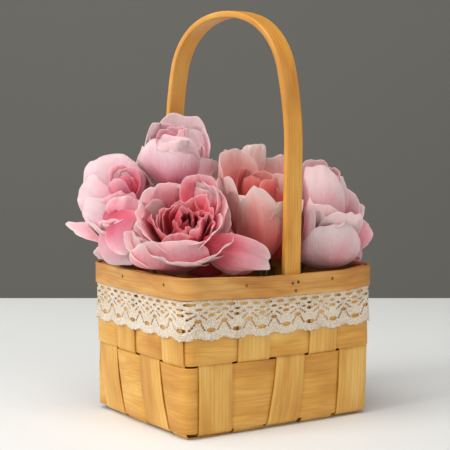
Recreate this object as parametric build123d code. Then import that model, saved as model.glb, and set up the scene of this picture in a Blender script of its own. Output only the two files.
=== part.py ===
"""A flower girl basket: a wood-chip basket woven from nine veneer staves and two weavers, with two nailed rim
bands, a bent strip handle, a lace trim, and six fabric peonies whose wire stems stand in a block of florist's foam.

Millimetres. +Z is up and the origin is under the middle of the base. The front, the wider face, looks along -Y.
"""

import math
import os

from build123d import *

# --- Driving dimensions -------------------------------------------------------------------------------------------
rim_width = 150.0  # over the outer rim band, left to right
rim_depth = 122.0  # over the outer rim band, front to back
body_height = 100.0  # floor to the top of the rim
wall_lean = 1.3  # how far each wall leans out between the floor and the rim
weave_corner = 4.5  # plan radius of the weave's middle surface at the corners

veneer = 0.9  # thickness of the staves and the weavers
weave_gap = 0.06  # play between two strips where they cross
ramp = 1.2  # length in which a strip steps from one side of the weave to the other
ramp_radius = 1.4
base_bend = 3.0  # radius in which a stave turns from the wall to the base
ramp_gap = 0.4  # play between a stave's edge and the ramp beside it

front_count = 5  # staves that run front, base, back
front_pitch = 25.9
front_stave = 23.5  # width of one of them
side_count = 4  # staves that run left, base, right
side_pitch = 25.0
side_stave = 22.6
front_drift = (0.0, -0.4, -0.8, -0.5, -0.3)  # how far each stave's foot stands off its top, along +X
side_drift = (-2.0, -2.4, -2.8, -3.2)  # the same along +Y, from the front stave to the rear one

weaver_floor = 4.0  # lower weaver's bottom edge above the floor
row_split = 45.5  # height of the line between the two weavers
row_gap = 2.4  # between their edges
stave_sink = 1.0  # the stave ends stop this far below the rim's top
weaver_sink = 3.5  # the upper weaver's top edge stops this far below it

rim_band = 1.8  # thickness of both rim bands
outer_band_height = 13.5
inner_band_height = 12.0
band_gap = 0.1  # play between a band and the weave
slot_gap = 1.0  # between the inner band's ends and the handle's feet

handle_top = 265.6  # floor to the top of the handle
handle_width = 12.4
handle_thick = 4.0
handle_skew = 10.0  # degrees that the handle stands askew, seen from above
handle_foot = 17.0  # length of the foot below the rim's top
handle_splay = 1.5  # degrees that the legs spread above the rim
splay_radius = 60.0
haunch_radius = 210.0
haunch_turn = 14.0  # degrees past upright at the end of the haunch
shoulder_radius = 45.0
shoulder_turn = 56.0

nail_shank = 0.55  # radius
nail_head = 1.1  # radius
nail_cap = 0.45  # height of the head
nail_drop = 5.0  # nail rows below the rim's top
nail_low_drop = 10.3  # third nail of the handle
handle_nail_spread = 2.2  # half the distance between a foot's two upper nails
handle_nail_shift = 2.0  # of the three nails from the foot's middle, toward the basket's
nail_front_x = (-30.0, 37.0)
nail_side_y = (14.5, -37.0)
nail_handle_bite = 3.0  # depth of a nail's point in the handle

lace_height = 25.0
lace_thick = 0.8
lace_gap = 0.15  # between the lace and the weave
lace_drop = 0.4  # between the rim band and the lace

foam_width = 118.0
foam_depth = 92.0
foam_share = 0.54  # the block's height as a share of the body's
foam_corner = 6.0
foam_lift = 0.3  # play between the foam and the base

stem_radius = 1.2
stem_play = 0.2  # between a stem and its hole in the foam
stem_bite = 36.0  # length of stem in the foam
calyx_length = 9.0
calyx_radius = 7.0

head_gap = 0.8  # between the petals of two neighbouring flowers
# name, middle of the head (x, y, height above the rim), radius, height, hole in the foam (x, y)
flowers = (
    ("left", (-61.0, 29.5, 36.0), 31.0, 60.0, (-33.5, 16.0)),
    ("back", (-31.0, 24.0, 69.0), 25.0, 56.0, (-31.0, 24.0)),
    ("front_left", (-48.0, -23.0, 31.0), 33.0, 56.0, (-26.5, -12.5)),
    ("middle", (11.0, -18.0, 41.0), 29.0, 62.0, (11.0, -18.0)),
    ("right", (54.0, -28.0, 33.0), 27.0, 58.0, (29.5, -15.5)),
    ("back_right", (61.0, 29.5, 36.0), 31.0, 60.0, (33.5, 16.0)),
)

# --- Worked out ---------------------------------------------------------------------------------------------------
OUT, IN = 1, -1
half_step = (veneer + weave_gap) / 2  # a strip's middle stands this far off the weave's middle surface
weave_face = half_step + veneer / 2  # the weave's outermost face off its middle surface
half_width_top = rim_width / 2 - rim_band - band_gap - weave_face
half_depth_top = rim_depth / 2 - rim_band - band_gap - weave_face
base_middle = weave_face  # height of the base's middle surface, so that the lowest strips lie on the floor
lower_row = (weaver_floor, row_split - row_gap / 2)
upper_row = (row_split + row_gap / 2, body_height - weaver_sink)


def half_width(z):
    """Half the width of the weave's middle surface at height z."""
    return half_width_top - wall_lean * (1 - z / body_height)


def half_depth(z):
    """Half the depth of the weave's middle surface at height z."""
    return half_depth_top - wall_lean * (1 - z / body_height)


def share_down(z):
    """0 at the rim's top and 1 at the floor."""
    return 1 - z / body_height


def front_x(k, z):
    """Middle of front stave k at height z."""
    return (k - (front_count - 1) / 2) * front_pitch + front_drift[k % len(front_drift)] * share_down(z)


def side_y(j, z):
    """Middle of side stave j at height z, counted from the front."""
    return (j - (side_count - 1) / 2) * side_pitch + side_drift[j % len(side_drift)] * share_down(z)


# --- Which side of the weave each strip is on ---------------------------------------------------------------------
def front_stave_side(k, wall, row):
    """OUT or IN for front stave k on the front or back wall, in row 0 (lower) or 1 (upper)."""
    even = (k + row + (wall == "back")) % 2 == 0
    return OUT if even else IN


def side_stave_side(j, row):
    """OUT or IN for side stave j, the same on the left and the right wall."""
    return IN if (j + row) % 2 == 0 else OUT


def front_stave_under(k, j):
    """True where front stave k passes under side stave j in the base."""
    return (k + j) % 2 == 1


# --- Staves -------------------------------------------------------------------------------------------------------
def stave_path(half_span, crossings, unders, near_sides, far_sides):
    """A stave's middle line as points (across, up) with a fillet radius for each inner point.

    half_span(z) is half the distance between the two walls, crossings the (low, high) spans of the strips that it
    crosses in the base, unders whether it passes under each, and the sides give (lower row, upper row) on each wall.
    """
    top = body_height - stave_sink
    high, low = row_split + ramp / 2, row_split - ramp / 2

    def wall(sign, sides):
        lower, upper = (half_step * s for s in sides)
        return [
            (sign * (half_span(top) + upper), top),
            (sign * (half_span(high) + upper), high),
            (sign * (half_span(low) + lower), low),
        ]

    def level(under):
        return base_middle + (-half_step if under else half_step)

    near, far = wall(-1, near_sides), wall(1, far_sides)
    points = near + [(-(half_span(0) + half_step * near_sides[0]), level(unders[0]))]
    radii = [ramp_radius, ramp_radius, base_bend]
    for n in range(len(crossings) - 1):
        if unders[n] == unders[n + 1]:
            continue
        middle = (crossings[n][1] + crossings[n + 1][0]) / 2
        points += [(middle - ramp / 2, level(unders[n])), (middle + ramp / 2, level(unders[n + 1]))]
        radii += [ramp_radius, ramp_radius]
    points += [(half_span(0) + half_step * far_sides[0], level(unders[-1]))] + far[::-1]
    radii += [base_bend, ramp_radius, ramp_radius]
    return points, radii


def slanted_outline(plane, top_middle, foot_middle, width):
    """A prism through the whole basket whose sides follow a stave that leans in its wall."""
    half, over = width / 2, 5.0
    lean = foot_middle - top_middle
    low = foot_middle + lean * over / body_height
    high = top_middle - lean * over / body_height
    corners = [
        (low - half, -over),
        (low + half, -over),
        (high + half, body_height + over),
        (high - half, body_height + over),
    ]
    return extrude(plane * make_face(Polyline(*corners, close=True)), rim_width, both=True)


def make_stave(path, cross_plane, face_plane, top_middle, foot_middle, width):
    points, radii = path
    line = FilletPolyline(*points, radius=radii)
    face = trace(line, line_width=veneer)
    reach = max(abs(top_middle), abs(foot_middle)) + width
    sheet = extrude(cross_plane * face, reach, both=True)
    return sheet & slanted_outline(face_plane, top_middle, foot_middle, width)


def make_front_stave(k):
    spans = [(side_y(j, 0) - side_stave / 2, side_y(j, 0) + side_stave / 2) for j in range(side_count)]
    unders = [front_stave_under(k, j) for j in range(side_count)]
    near = [front_stave_side(k, "front", row) for row in (0, 1)]
    far = [front_stave_side(k, "back", row) for row in (0, 1)]
    path = stave_path(half_depth, spans, unders, near, far)
    return make_stave(path, Plane.YZ, Plane.XZ, front_x(k, body_height), front_x(k, 0), front_stave)


def make_side_stave(j):
    spans = [(front_x(k, 0) - front_stave / 2, front_x(k, 0) + front_stave / 2) for k in range(front_count)]
    unders = [not front_stave_under(k, j) for k in range(front_count)]
    sides = [side_stave_side(j, row) for row in (0, 1)]
    path = stave_path(half_width, spans, unders, sides, sides)
    return make_stave(path, Plane.XZ, Plane.YZ, side_y(j, body_height), side_y(j, 0), side_stave)


# --- Weavers and bands --------------------------------------------------------------------------------------------
def wall_steps(spans, sides):
    """Where a weaver changes sides along one wall: (place, side from there on), with spans and sides of the staves."""
    steps = []
    current = OUT
    for n, ((low, high), stave_side) in enumerate(zip(spans, sides)):
        wanted = -stave_side
        if wanted != current:
            place = low - ramp_gap - ramp if n == 0 else (spans[n - 1][1] + low - ramp) / 2
            steps.append((place, wanted))
            current = wanted
    if current != OUT:
        steps.append((spans[-1][1] + ramp_gap, OUT))
    return steps


def wall_line(steps, offset, start, end):
    """Points (along, off the middle surface) of one face of a weaver on one wall."""
    points = [(start, half_step + offset)]
    side = OUT
    for place, new_side in steps:
        points += [(place, half_step * side + offset), (place + ramp, half_step * new_side + offset)]
        side = new_side
    return points + [(end, half_step + offset)]


def ring_wire(z, walls, offset):
    """One face of a weaver or band at height z: four wall lines joined by corner arcs, anticlockwise from the front."""
    w, d = half_width(z), half_depth(z)
    edge_x, edge_y = w - weave_corner, d - weave_corner
    radius = weave_corner + half_step + offset
    frames = (
        (edge_x, lambda s, o: (s, -d - o)),
        (edge_y, lambda s, o: (w + o, s)),
        (edge_x, lambda s, o: (-s, d + o)),
        (edge_y, lambda s, o: (-w - o, -s)),
    )
    centres = ((edge_x, -edge_y), (edge_x, edge_y), (-edge_x, edge_y), (-edge_x, -edge_y))
    edges = []
    for n, (edge, place) in enumerate(frames):
        points = [Vector(*place(s, o), z) for s, o in wall_line(walls[n], offset, -edge, edge)]
        edges += [Edge.make_line(a, b) for a, b in zip(points, points[1:])]
        cx, cy = centres[n]
        middle = math.radians(-45 + 90 * n)
        turn = Vector(cx + radius * math.cos(middle), cy + radius * math.sin(middle), z)
        following = frames[(n + 1) % 4]
        end = Vector(*following[1](-following[0], half_step + offset), z)
        edges.append(Edge.make_three_point_arc(points[-1], turn, end))
    return Wire(edges)


def make_ring(z_low, z_high, steps_at, inner, outer):
    """A closed band between two offsets from the outer strips' middle, following the walls' lean."""
    solids = []
    for offset in (outer, inner):
        wires = [ring_wire(z, steps_at(z), offset) for z in (z_low, z_high)]
        solids.append(Solid.make_loft(wires, ruled=True))
    return solids[0] - solids[1]


def weaver_steps(row):
    def steps_at(z):
        front = [(front_x(k, z) - front_stave / 2, front_x(k, z) + front_stave / 2) for k in range(front_count)]
        side = [(side_y(j, z) - side_stave / 2, side_y(j, z) + side_stave / 2) for j in range(side_count)]
        back = [(-high, -low) for low, high in reversed(front)]
        left = [(-high, -low) for low, high in reversed(side)]
        front_sides = [front_stave_side(k, "front", row) for k in range(front_count)]
        back_sides = [front_stave_side(k, "back", row) for k in reversed(range(front_count))]
        right_sides = [side_stave_side(j, row) for j in range(side_count)]
        return (
            wall_steps(front, front_sides),
            wall_steps(side, right_sides),
            wall_steps(back, back_sides),
            wall_steps(left, right_sides[::-1]),
        )

    return steps_at


def plain_steps(z):
    return ([], [], [], [])


def make_weaver(row):
    return make_ring(*(lower_row, upper_row)[row], weaver_steps(row), -veneer / 2, veneer / 2)


def make_outer_rim():
    inner = veneer / 2 + band_gap
    return make_ring(body_height - outer_band_height, body_height, plain_steps, inner, inner + rim_band)


def make_inner_rim():
    """The inner band runs inside the handle's feet, which stand between it and the weave."""
    outer = -2 * half_step - veneer / 2 - band_gap
    band = make_ring(body_height - inner_band_height, body_height, plain_steps, outer - rim_band, outer)
    for sign in (-1, 1):
        slot = Box(handle_width + 2 * slot_gap, 6 * rim_band, 2 * inner_band_height)
        band -= Pos(foot_x(sign), sign * half_depth_top, body_height) * slot
    return band


def make_lace():
    top = body_height - outer_band_height - lace_drop
    inner = veneer / 2 + lace_gap
    return make_ring(top - lace_height, top, plain_steps, inner, inner + lace_thick)


# --- Handle -------------------------------------------------------------------------------------------------------
def foot_middle():
    """Distance from the middle plane to the middle of a handle foot, against the inside of the weave."""
    return half_depth(body_height - handle_foot) - weave_face - band_gap - handle_thick / 2


def foot_x(sign):
    """How far the front (-1) or back (1) foot's middle stands off the middle plane because of the skew."""
    return -sign * math.tan(math.radians(handle_skew)) * foot_middle()


def arc_step(radius, start, end):
    """How far an arc from heading start to end, in degrees in from upright, goes (in, up)."""
    a, b = math.radians(start), math.radians(end)
    return radius * (math.cos(a) - math.cos(b)), radius * (math.sin(b) - math.sin(a))


def handle_line():
    """Half of the handle's middle line, from the foot to the crown: the straight leg's length and the crown's radius
    are solved so that the handle closes at its middle and reaches handle_top."""
    y, z = foot_middle(), body_height
    shoulder_start, crown_start = haunch_turn, haunch_turn + shoulder_turn
    arcs = (
        (splay_radius, 0, handle_splay, -1),
        (haunch_radius, -handle_splay, shoulder_start, 1),
        (shoulder_radius, shoulder_start, crown_start, 1),
    )
    inward = up = 0.0
    for radius, start, end, sense in arcs:
        step_in, step_up = arc_step(radius, start, end)
        inward += sense * step_in
        up += step_up
    splay, crown = math.radians(handle_splay), math.radians(crown_start)
    rise = handle_top - handle_thick / 2 - z - up
    reach = y - inward
    share = (1 - math.sin(crown)) / math.cos(crown)
    leg = (rise - share * reach) / (math.cos(splay) + share * math.sin(splay))
    crown_radius = (reach + leg * math.sin(splay)) / math.cos(crown)
    if leg <= 0:
        raise ValueError("the handle is too low for its shoulders")

    foot = Line((y, z - handle_foot), (y, z))
    splayed = JernArc(foot @ 1, foot % 1, splay_radius, -handle_splay)
    straight = Line(splayed @ 1, splayed @ 1 + (splayed % 1) * leg)
    haunch = JernArc(straight @ 1, straight % 1, haunch_radius, handle_splay + haunch_turn)
    shoulder = JernArc(haunch @ 1, haunch % 1, shoulder_radius, shoulder_turn)
    crown_arc = JernArc(shoulder @ 1, shoulder % 1, crown_radius, 90 - crown_start)
    return Curve() + [foot, splayed, straight, haunch, shoulder, crown_arc]


def make_handle():
    """Half the strip is drawn on an upright plane turned by the skew and pushed out along X, so its foot lies flat;
    the other half is the same one turned about Z."""
    skew = math.radians(handle_skew)
    face = scale(trace(handle_line(), line_width=handle_thick), by=(1 / math.cos(skew), 1, 1))
    plane = Plane(
        origin=(-handle_width / 2, 0, 0),
        x_dir=(-math.sin(skew), math.cos(skew), 0),
        z_dir=(math.cos(skew), math.sin(skew), 0),
    )
    half = extrude(plane * face, amount=handle_width, dir=(1, 0, 0))
    return half + Rot(0, 0, 180) * half


# --- Nails --------------------------------------------------------------------------------------------------------
def nail(x, y, drop, inward, length):
    """A nail driven in from the outer rim band's face, its head on that face."""
    place = Plane(origin=(x, y, body_height - drop), z_dir=(inward[0], inward[1], 0))
    shank = extrude(place * Circle(nail_shank), length)
    head = extrude(place.offset(-nail_cap) * Circle(nail_head), nail_cap)
    return shank + head


def rim_nails():
    through = 2 * rim_band + 2 * band_gap + 2 * weave_face + 0.4
    nails = []
    for sign in (-1, 1):
        for x in nail_front_x:
            nails.append(nail(-sign * x, sign * rim_depth / 2, nail_drop, (0, -sign), through))
        for y in nail_side_y:
            nails.append(nail(sign * rim_width / 2, -sign * y, nail_drop, (-sign, 0), through))
    return nails


def handle_nails():
    length = rim_band + 2 * band_gap + 2 * weave_face + nail_handle_bite
    nails = []
    for sign in (-1, 1):
        x = foot_x(sign) + sign * handle_nail_shift
        for dx, drop in ((-handle_nail_spread, nail_drop), (handle_nail_spread, nail_drop), (0, nail_low_drop)):
            nails.append(nail(x + dx, sign * rim_depth / 2, drop, (0, -sign), length))
    return nails


# --- Foam and flowers ---------------------------------------------------------------------------------------------
foam_floor = 2 * weave_face + foam_lift
foam_height = foam_share * body_height
foam_top = foam_floor + foam_height


def flower_plane(middle, height, hole):
    """A plane at the flower's hole in the foam's top, whose normal is the stem, and the distance up to the head."""
    seat = Vector(*hole, foam_top)
    rise = Vector(*middle) + Vector(0, 0, body_height) - seat
    return Plane(origin=seat, z_dir=rise), rise.length - height / 2


def make_head(radius, height):
    """The closed outer shape of the petals: a cup that swells to its widest a little above the middle."""
    base = calyx_radius * 0.8
    rise = Spline(
        (base, 0), (radius * 0.86, height * 0.26), (radius, height * 0.55), (radius * 0.74, height * 0.9),
        (radius * 0.35, height),
    )
    outline = make_face([rise, Polyline(rise @ 1, (0, height), (0, 0), (base, 0))])
    return revolve(Plane.XZ * outline, Axis.Z)


def make_calyx():
    profile = Polyline(
        (0, -calyx_length), (stem_radius + 0.6, -calyx_length), (calyx_radius * 0.6, -calyx_length * 0.4),
        (calyx_radius * 0.8, 0), (0, 0), close=True,
    )
    return revolve(Plane.XZ * make_face(profile), Axis.Z)


def beside(shape, middle, radius, other, other_radius):
    """The shape without what lies past the upright plane halfway to a neighbouring flower."""
    across = Vector(other[0] - middle[0], other[1] - middle[1], 0)
    share = 0.5 + (radius - other_radius) / across.length / 2
    plane = Plane(origin=Vector(*middle) + across * share - across.normalized() * head_gap / 2, z_dir=across)
    if across.length > radius + other_radius:
        return shape
    return split(shape, plane, keep=Keep.BOTTOM)


def make_flower(middle, radius, height, hole):
    """(head, calyx, stem) in place, the head cut clear of its neighbours so that each flower lifts out alone."""
    plane, lift = flower_plane(middle, height, hole)
    head = plane * Pos(0, 0, lift) * make_head(radius, height)
    for _, other, other_radius, _, _ in flowers:
        if other != middle:
            head = beside(head, middle, radius, other, other_radius)
    calyx = plane * Pos(0, 0, lift) * make_calyx()
    stem = extrude(plane.offset(-stem_bite) * Circle(stem_radius), stem_bite + lift - calyx_length)
    return head, calyx, stem


def make_foam():
    block = Box(foam_width, foam_depth, foam_height)
    block = Pos(0, 0, foam_floor + foam_height / 2) * fillet(block.edges().filter_by(Axis.Z), foam_corner)
    for _, middle, _, height, hole in flowers:
        plane, _ = flower_plane(middle, height, hole)
        bottom = plane.offset(-stem_bite - stem_play)
        block -= extrude(bottom * Circle(stem_radius + stem_play), stem_bite + 10.0)
    return block


# --- All parts ----------------------------------------------------------------------------------------------------
def drilled(shape, nails):
    """The shape with a hole where each nail that reaches it passes through."""
    box = shape.bounding_box()
    for one in nails:
        other = one.bounding_box()
        apart = any(
            getattr(box.min, axis) > getattr(other.max, axis) or getattr(other.min, axis) > getattr(box.max, axis)
            for axis in "XYZ"
        )
        if not apart:
            shape = shape - one
    return shape


def make_all():
    rim, feet = rim_nails(), handle_nails()
    nails = rim + feet
    parts = {}
    for k in range(front_count):
        parts[f"stave_front_{k + 1}"] = drilled(make_front_stave(k), nails)
    for j in range(side_count):
        parts[f"stave_side_{j + 1}"] = drilled(make_side_stave(j), nails)
    parts["weaver_lower"] = make_weaver(0)
    parts["weaver_upper"] = drilled(make_weaver(1), nails)
    parts["rim_outer"] = drilled(make_outer_rim(), nails)
    parts["rim_inner"] = drilled(make_inner_rim(), nails)
    parts["handle"] = drilled(make_handle(), nails)
    parts["rim_nails"] = Compound(children=rim)
    parts["handle_nails"] = Compound(children=feet)
    parts["lace_trim"] = make_lace()
    parts["foam_block"] = make_foam()
    for name, middle, radius, height, hole in flowers:
        head, calyx, stem = make_flower(middle, radius, height, hole)
        parts[f"{name}_bloom"] = head
        parts[f"{name}_calyx"] = calyx
        parts[f"{name}_stem"] = stem
    return parts


os.makedirs("parts", exist_ok=True)
for node, shape in make_all().items():
    export_step(shape, f"parts/{node}.step")
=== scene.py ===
"""Looks of the flower girl basket: woven veneer, nailed rim bands, bent handle, torchon lace and six silk peonies.

Lengths in this script are written in millimetres and turned to metres where a mesh is made.
"""

import math
import random

import bmesh
import bpy
from mathutils import Matrix, Vector, noise


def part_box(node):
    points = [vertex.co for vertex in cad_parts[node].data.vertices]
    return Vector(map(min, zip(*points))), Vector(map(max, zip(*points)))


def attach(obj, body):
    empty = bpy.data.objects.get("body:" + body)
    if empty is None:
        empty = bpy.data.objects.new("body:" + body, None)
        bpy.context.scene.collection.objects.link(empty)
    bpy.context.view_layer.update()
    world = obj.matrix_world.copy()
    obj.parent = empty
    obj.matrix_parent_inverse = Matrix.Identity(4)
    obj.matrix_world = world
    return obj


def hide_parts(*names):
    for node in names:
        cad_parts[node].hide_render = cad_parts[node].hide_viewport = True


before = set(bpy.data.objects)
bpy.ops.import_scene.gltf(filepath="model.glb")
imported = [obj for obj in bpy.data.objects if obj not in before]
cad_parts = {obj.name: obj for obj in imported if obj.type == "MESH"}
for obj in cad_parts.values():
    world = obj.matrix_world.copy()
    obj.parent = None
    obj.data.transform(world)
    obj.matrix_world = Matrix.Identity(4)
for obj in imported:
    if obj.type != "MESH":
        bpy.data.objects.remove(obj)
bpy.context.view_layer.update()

MM = 0.001
AZIMUTH, ELEVATION, DISTANCE, FOCAL = math.radians(33.37), math.radians(5.12), 888.2, 1332.7
OUT, IN = 1, -1



def box_mm(node):
    """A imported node's lowest and highest corners at rest, in millimetres."""
    return tuple(Vector(corner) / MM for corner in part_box(node))


def centre_mm(node):
    low, high = box_mm(node)
    return (low + high) / 2


# --- The woven body ---------------------------------------------------------------------------------------------
VENEER = 0.9
STEP = 0.6  # a strip's middle stands this far off the weave's middle surface
PROUD = 0.1
WEAVE_LOW, WEAVE_HIGH = box_mm("weaver_upper")
RIM_LOW, RIM_HIGH = box_mm("rim_outer")
HALF_WIDTH = WEAVE_HIGH.x - STEP - VENEER / 2 + PROUD  # of the weave's middle surface at the rim
HALF_DEPTH = WEAVE_HIGH.y - STEP - VENEER / 2 + PROUD
LEAN = 1.3  # the walls lean out this far between floor and rim
BODY = RIM_HIGH.z
BASE_LEVEL = STEP + VENEER / 2
BEND = 3.2  # radius of a stave where the wall turns into the base
CORNER = 6.5  # plan radius that the weavers' running length is counted with
GIRTH = 516  # rounded length of a weaver
STAVE_WIDTH = 23.5
TURN_REACH = 1.2  # half the length over which a strip changes side in the base
SPLIT = (box_mm("weaver_lower")[1].z + WEAVE_LOW.z) / 2 - PROUD  # height of the line between the two weavers

# edges of each stave on its wall as (low, high) at the rim, at the row split and at the floor, from the middle of
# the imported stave
FRONT_STAVES_EDGES = (
    ((-11.1, 13.0), (-10.9, 13.2), (-10.7, 13.7)),
    ((-8.3, 15.7), (-8.5, 15.7), (-10.3, 12.1)),
    ((-4.2, 18.6), (-4.5, 17.6), (-12.0, 12.2)),
    ((-4.6, 17.8), (-5.0, 17.4), (-10.0, 15.0)),
    ((-5.6, 16.9), (-5.9, 16.6), (-8.2, 14.9)),
)
LEFT_STAVES_EDGES = (
    ((-15.1, 8.3), (-16.1, 8.3), (-15.9, -1.5)),
    ((-12.3, 11.7), (-12.5, 11.5), (-23.9, 2.9)),
    ((-7.3, 15.7), (-7.3, 15.3), (-18.9, 4.5)),
    ((-6.5, 16.7), (-7.1, 16.5), (-17.7, 7.1)),
)
BACK_DRIFTS = (0.4, -0.6, 0.5, 1.2, 0.2)
RIGHT_DRIFTS = (-2.0, -2.6, -2.2, -3.4)
FRONT_CENTRES = [centre_mm(f"stave_front_{k}").x for k in range(1, 6)]
SIDE_CENTRES = [centre_mm(f"stave_side_{j}").y for j in range(1, 5)]


def placed(edges, centres):
    """Stave edges moved from the middle of each packed stave to their place on the wall."""
    return tuple(
        tuple((low + centre, high + centre) for low, high in marks) for marks, centre in zip(edges, centres)
    )


FRONT_STAVES = placed(FRONT_STAVES_EDGES, FRONT_CENTRES)
LEFT_STAVES = placed(LEFT_STAVES_EDGES, SIDE_CENTRES)
BACK_STAVES = placed([[(a - 11.75, a + 11.75) for a in (0.0, 0.3, drift)] for drift in BACK_DRIFTS], FRONT_CENTRES)
RIGHT_STAVES = placed([[(a - 11.3, a + 11.3) for a in (0.0, -0.4, drift)] for drift in RIGHT_DRIFTS], SIDE_CENTRES)


def clamp(value, low=0.0, high=1.0):
    return max(low, min(high, value))


def ease(low, high, value):
    """0 below low, 1 above high, smooth between."""
    t = clamp((value - low) / (high - low))
    return t * t * (3 - 2 * t)


def mix(a, b, share):
    return a + (b - a) * share


def half_width(z):
    return HALF_WIDTH - LEAN * (1 - z / BODY)


def half_depth(z):
    return HALF_DEPTH - LEAN * (1 - z / BODY)


def wobble(x, y=0.0, z=0.0):
    """Smooth noise from about -1 to 1."""
    return noise.noise(Vector((x, y, z)))


def sag(wall, a, z):
    """How far the top of the weave hangs at place a along a wall."""
    high = ease(35, 100, z)
    if wall == "front":
        return -2.5 * ease(-70, -6, a) * (1 - ease(48, 72, a)) * high
    if wall == "back":
        return -1.2 * (1 - (a / 72) ** 2) * high
    return -0.9 * (1 - (a / 58) ** 2) * high


def bow(wall, a, z):
    """How far a wall swells outward at place a and height z."""
    half = 72.0 if wall in ("front", "back") else 58.0
    side = 1 - clamp(abs(a) / half) ** 2
    swell = 0.9 + 0.5 * math.sin(math.pi * clamp(z / BODY))
    return side * swell * (0.8 if wall in ("front", "back") else 0.6) - 0.3


def wall_point(wall, a, z, off):
    """The point at place a and height z of a wall, off millimetres outside the weave's middle surface."""
    out = off + bow(wall, a, z)
    z = z + sag(wall, a, z)
    if wall == "front":
        return Vector((a, -half_depth(z) - out, z))
    if wall == "back":
        return Vector((a, half_depth(z) + out, z))
    if wall == "left":
        return Vector((-half_width(z) - out, a, z))
    return Vector((half_width(z) + out, a, z))


def edges_at(stave, z):
    """(low, high) edge of a stave at height z."""
    top, split, foot = stave
    if z > SPLIT:
        share = clamp((z - SPLIT) / (BODY - SPLIT))
        return tuple(mix(split[i], top[i], share) for i in (0, 1))
    share = clamp((SPLIT - z) / SPLIT)
    bent = share * (0.55 + 0.45 * share)
    return tuple(mix(split[i], foot[i], bent) for i in (0, 1))


# --- Making a strip ---------------------------------------------------------------------------------------------
def grid_mesh(columns, rows, place, span=(1.0, 1.0), shift=(0.0, 0.0)):
    """A bmesh grid with each vertex at place(u, v), u and v from 0 to 1. Its UV map holds metres along and across."""
    bm = bmesh.new()
    layer = bm.loops.layers.uv.new("UVMap")
    bmesh.ops.create_grid(bm, x_segments=columns, y_segments=rows, size=0.5, calc_uvs=True)
    for vert in bm.verts:
        u, v = vert.co.x + 0.5, vert.co.y + 0.5
        for loop in vert.link_loops:
            loop[layer].uv = (u * span[0] * MM + shift[0], v * span[1] * MM + shift[1])
        vert.co = place(u, v) * MM
    return bm


def make_piece(name, bm, material, body, nodes):
    mesh = bpy.data.meshes.new(name)
    bm.to_mesh(mesh)
    bm.free()
    mesh.materials.append(material)
    for face in mesh.polygons:
        face.use_smooth = True
    piece = bpy.data.objects.new(name, mesh)
    bpy.context.scene.collection.objects.link(piece)
    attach(piece, body)
    if nodes:
        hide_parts(*nodes)
    return piece


def thicken(piece, thickness, round_edge=0.0, segments=2):
    """Gives a sheet its thickness to both sides, then rounds its edges."""
    solid = piece.modifiers.new("thickness", "SOLIDIFY")
    solid.thickness = thickness * MM
    solid.offset = 0
    solid.use_even_offset = False
    if round_edge:
        bevel = piece.modifiers.new("edges", "BEVEL")
        bevel.width = round_edge * MM
        bevel.segments = segments
        bevel.limit_method = "ANGLE"
        bevel.angle_limit = math.radians(50)
        bevel.harden_normals = False


def subdivide(piece, levels=1):
    modifier = piece.modifiers.new("smooth", "SUBSURF")
    modifier.levels = levels
    modifier.render_levels = levels


# --- Materials --------------------------------------------------------------------------------------------------
def new_group(name, inputs, outputs):
    group = bpy.data.node_groups.new(name, "ShaderNodeTree")
    for label, kind, default in inputs:
        socket = group.interface.new_socket(label, in_out="INPUT", socket_type=kind)
        if default is not None:
            socket.default_value = default
    for label, kind in outputs:
        group.interface.new_socket(label, in_out="OUTPUT", socket_type=kind)
    group.nodes.new("NodeGroupInput")
    group.nodes.new("NodeGroupOutput")
    return group


def add(tree, kind, inputs=None, **settings):
    """A node with its settings and inputs. An input is a value or another node's output socket."""
    node = tree.nodes.new(kind)
    for key, value in settings.items():
        setattr(node, key, value)
    for key, value in (inputs or {}).items():
        socket = node.inputs[key]
        if isinstance(value, bpy.types.NodeSocket):
            tree.links.new(value, socket)
        else:
            socket.default_value = value
    return node


def math_node(tree, operation, a, b=0.0, c=0.0, clamped=False):
    return add(tree, "ShaderNodeMath", {0: a, 1: b, 2: c}, operation=operation, use_clamp=clamped).outputs[0]


def ramp(tree, factor, stops):
    node = add(tree, "ShaderNodeValToRGB", {"Fac": factor})
    elements = node.color_ramp.elements
    while len(elements) < len(stops):
        elements.new(0.5)
    for element, (place, value) in zip(elements, stops):
        element.position = place
        element.color = value if isinstance(value, tuple) else (value, value, value, 1)
    return node.outputs["Color"]


def blend(tree, factor, a, b, blend_type="MIX"):
    node = add(tree, "ShaderNodeMix", data_type="RGBA", blend_type=blend_type, clamp_result=True)
    for index, value in ((0, factor), (6, a), (7, b)):
        if isinstance(value, bpy.types.NodeSocket):
            tree.links.new(value, node.inputs[index])
        else:
            node.inputs[index].default_value = value
    return node.outputs[2]


def noise_at(tree, vector, scale, detail=3.0, roughness=0.55, distortion=0.0):
    inputs = {"Vector": vector, "Scale": scale, "Detail": detail, "Roughness": roughness, "Distortion": distortion}
    return add(tree, "ShaderNodeTexNoise", inputs).outputs["Fac"]


def srgb(red, green, blue, alpha=1.0):
    """A colour from its screen values, 0 to 255."""

    def linear(value):
        value /= 255
        return value / 12.92 if value <= 0.04045 else ((value + 0.055) / 1.055) ** 2.4

    return (linear(red), linear(green), linear(blue), alpha)


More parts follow.
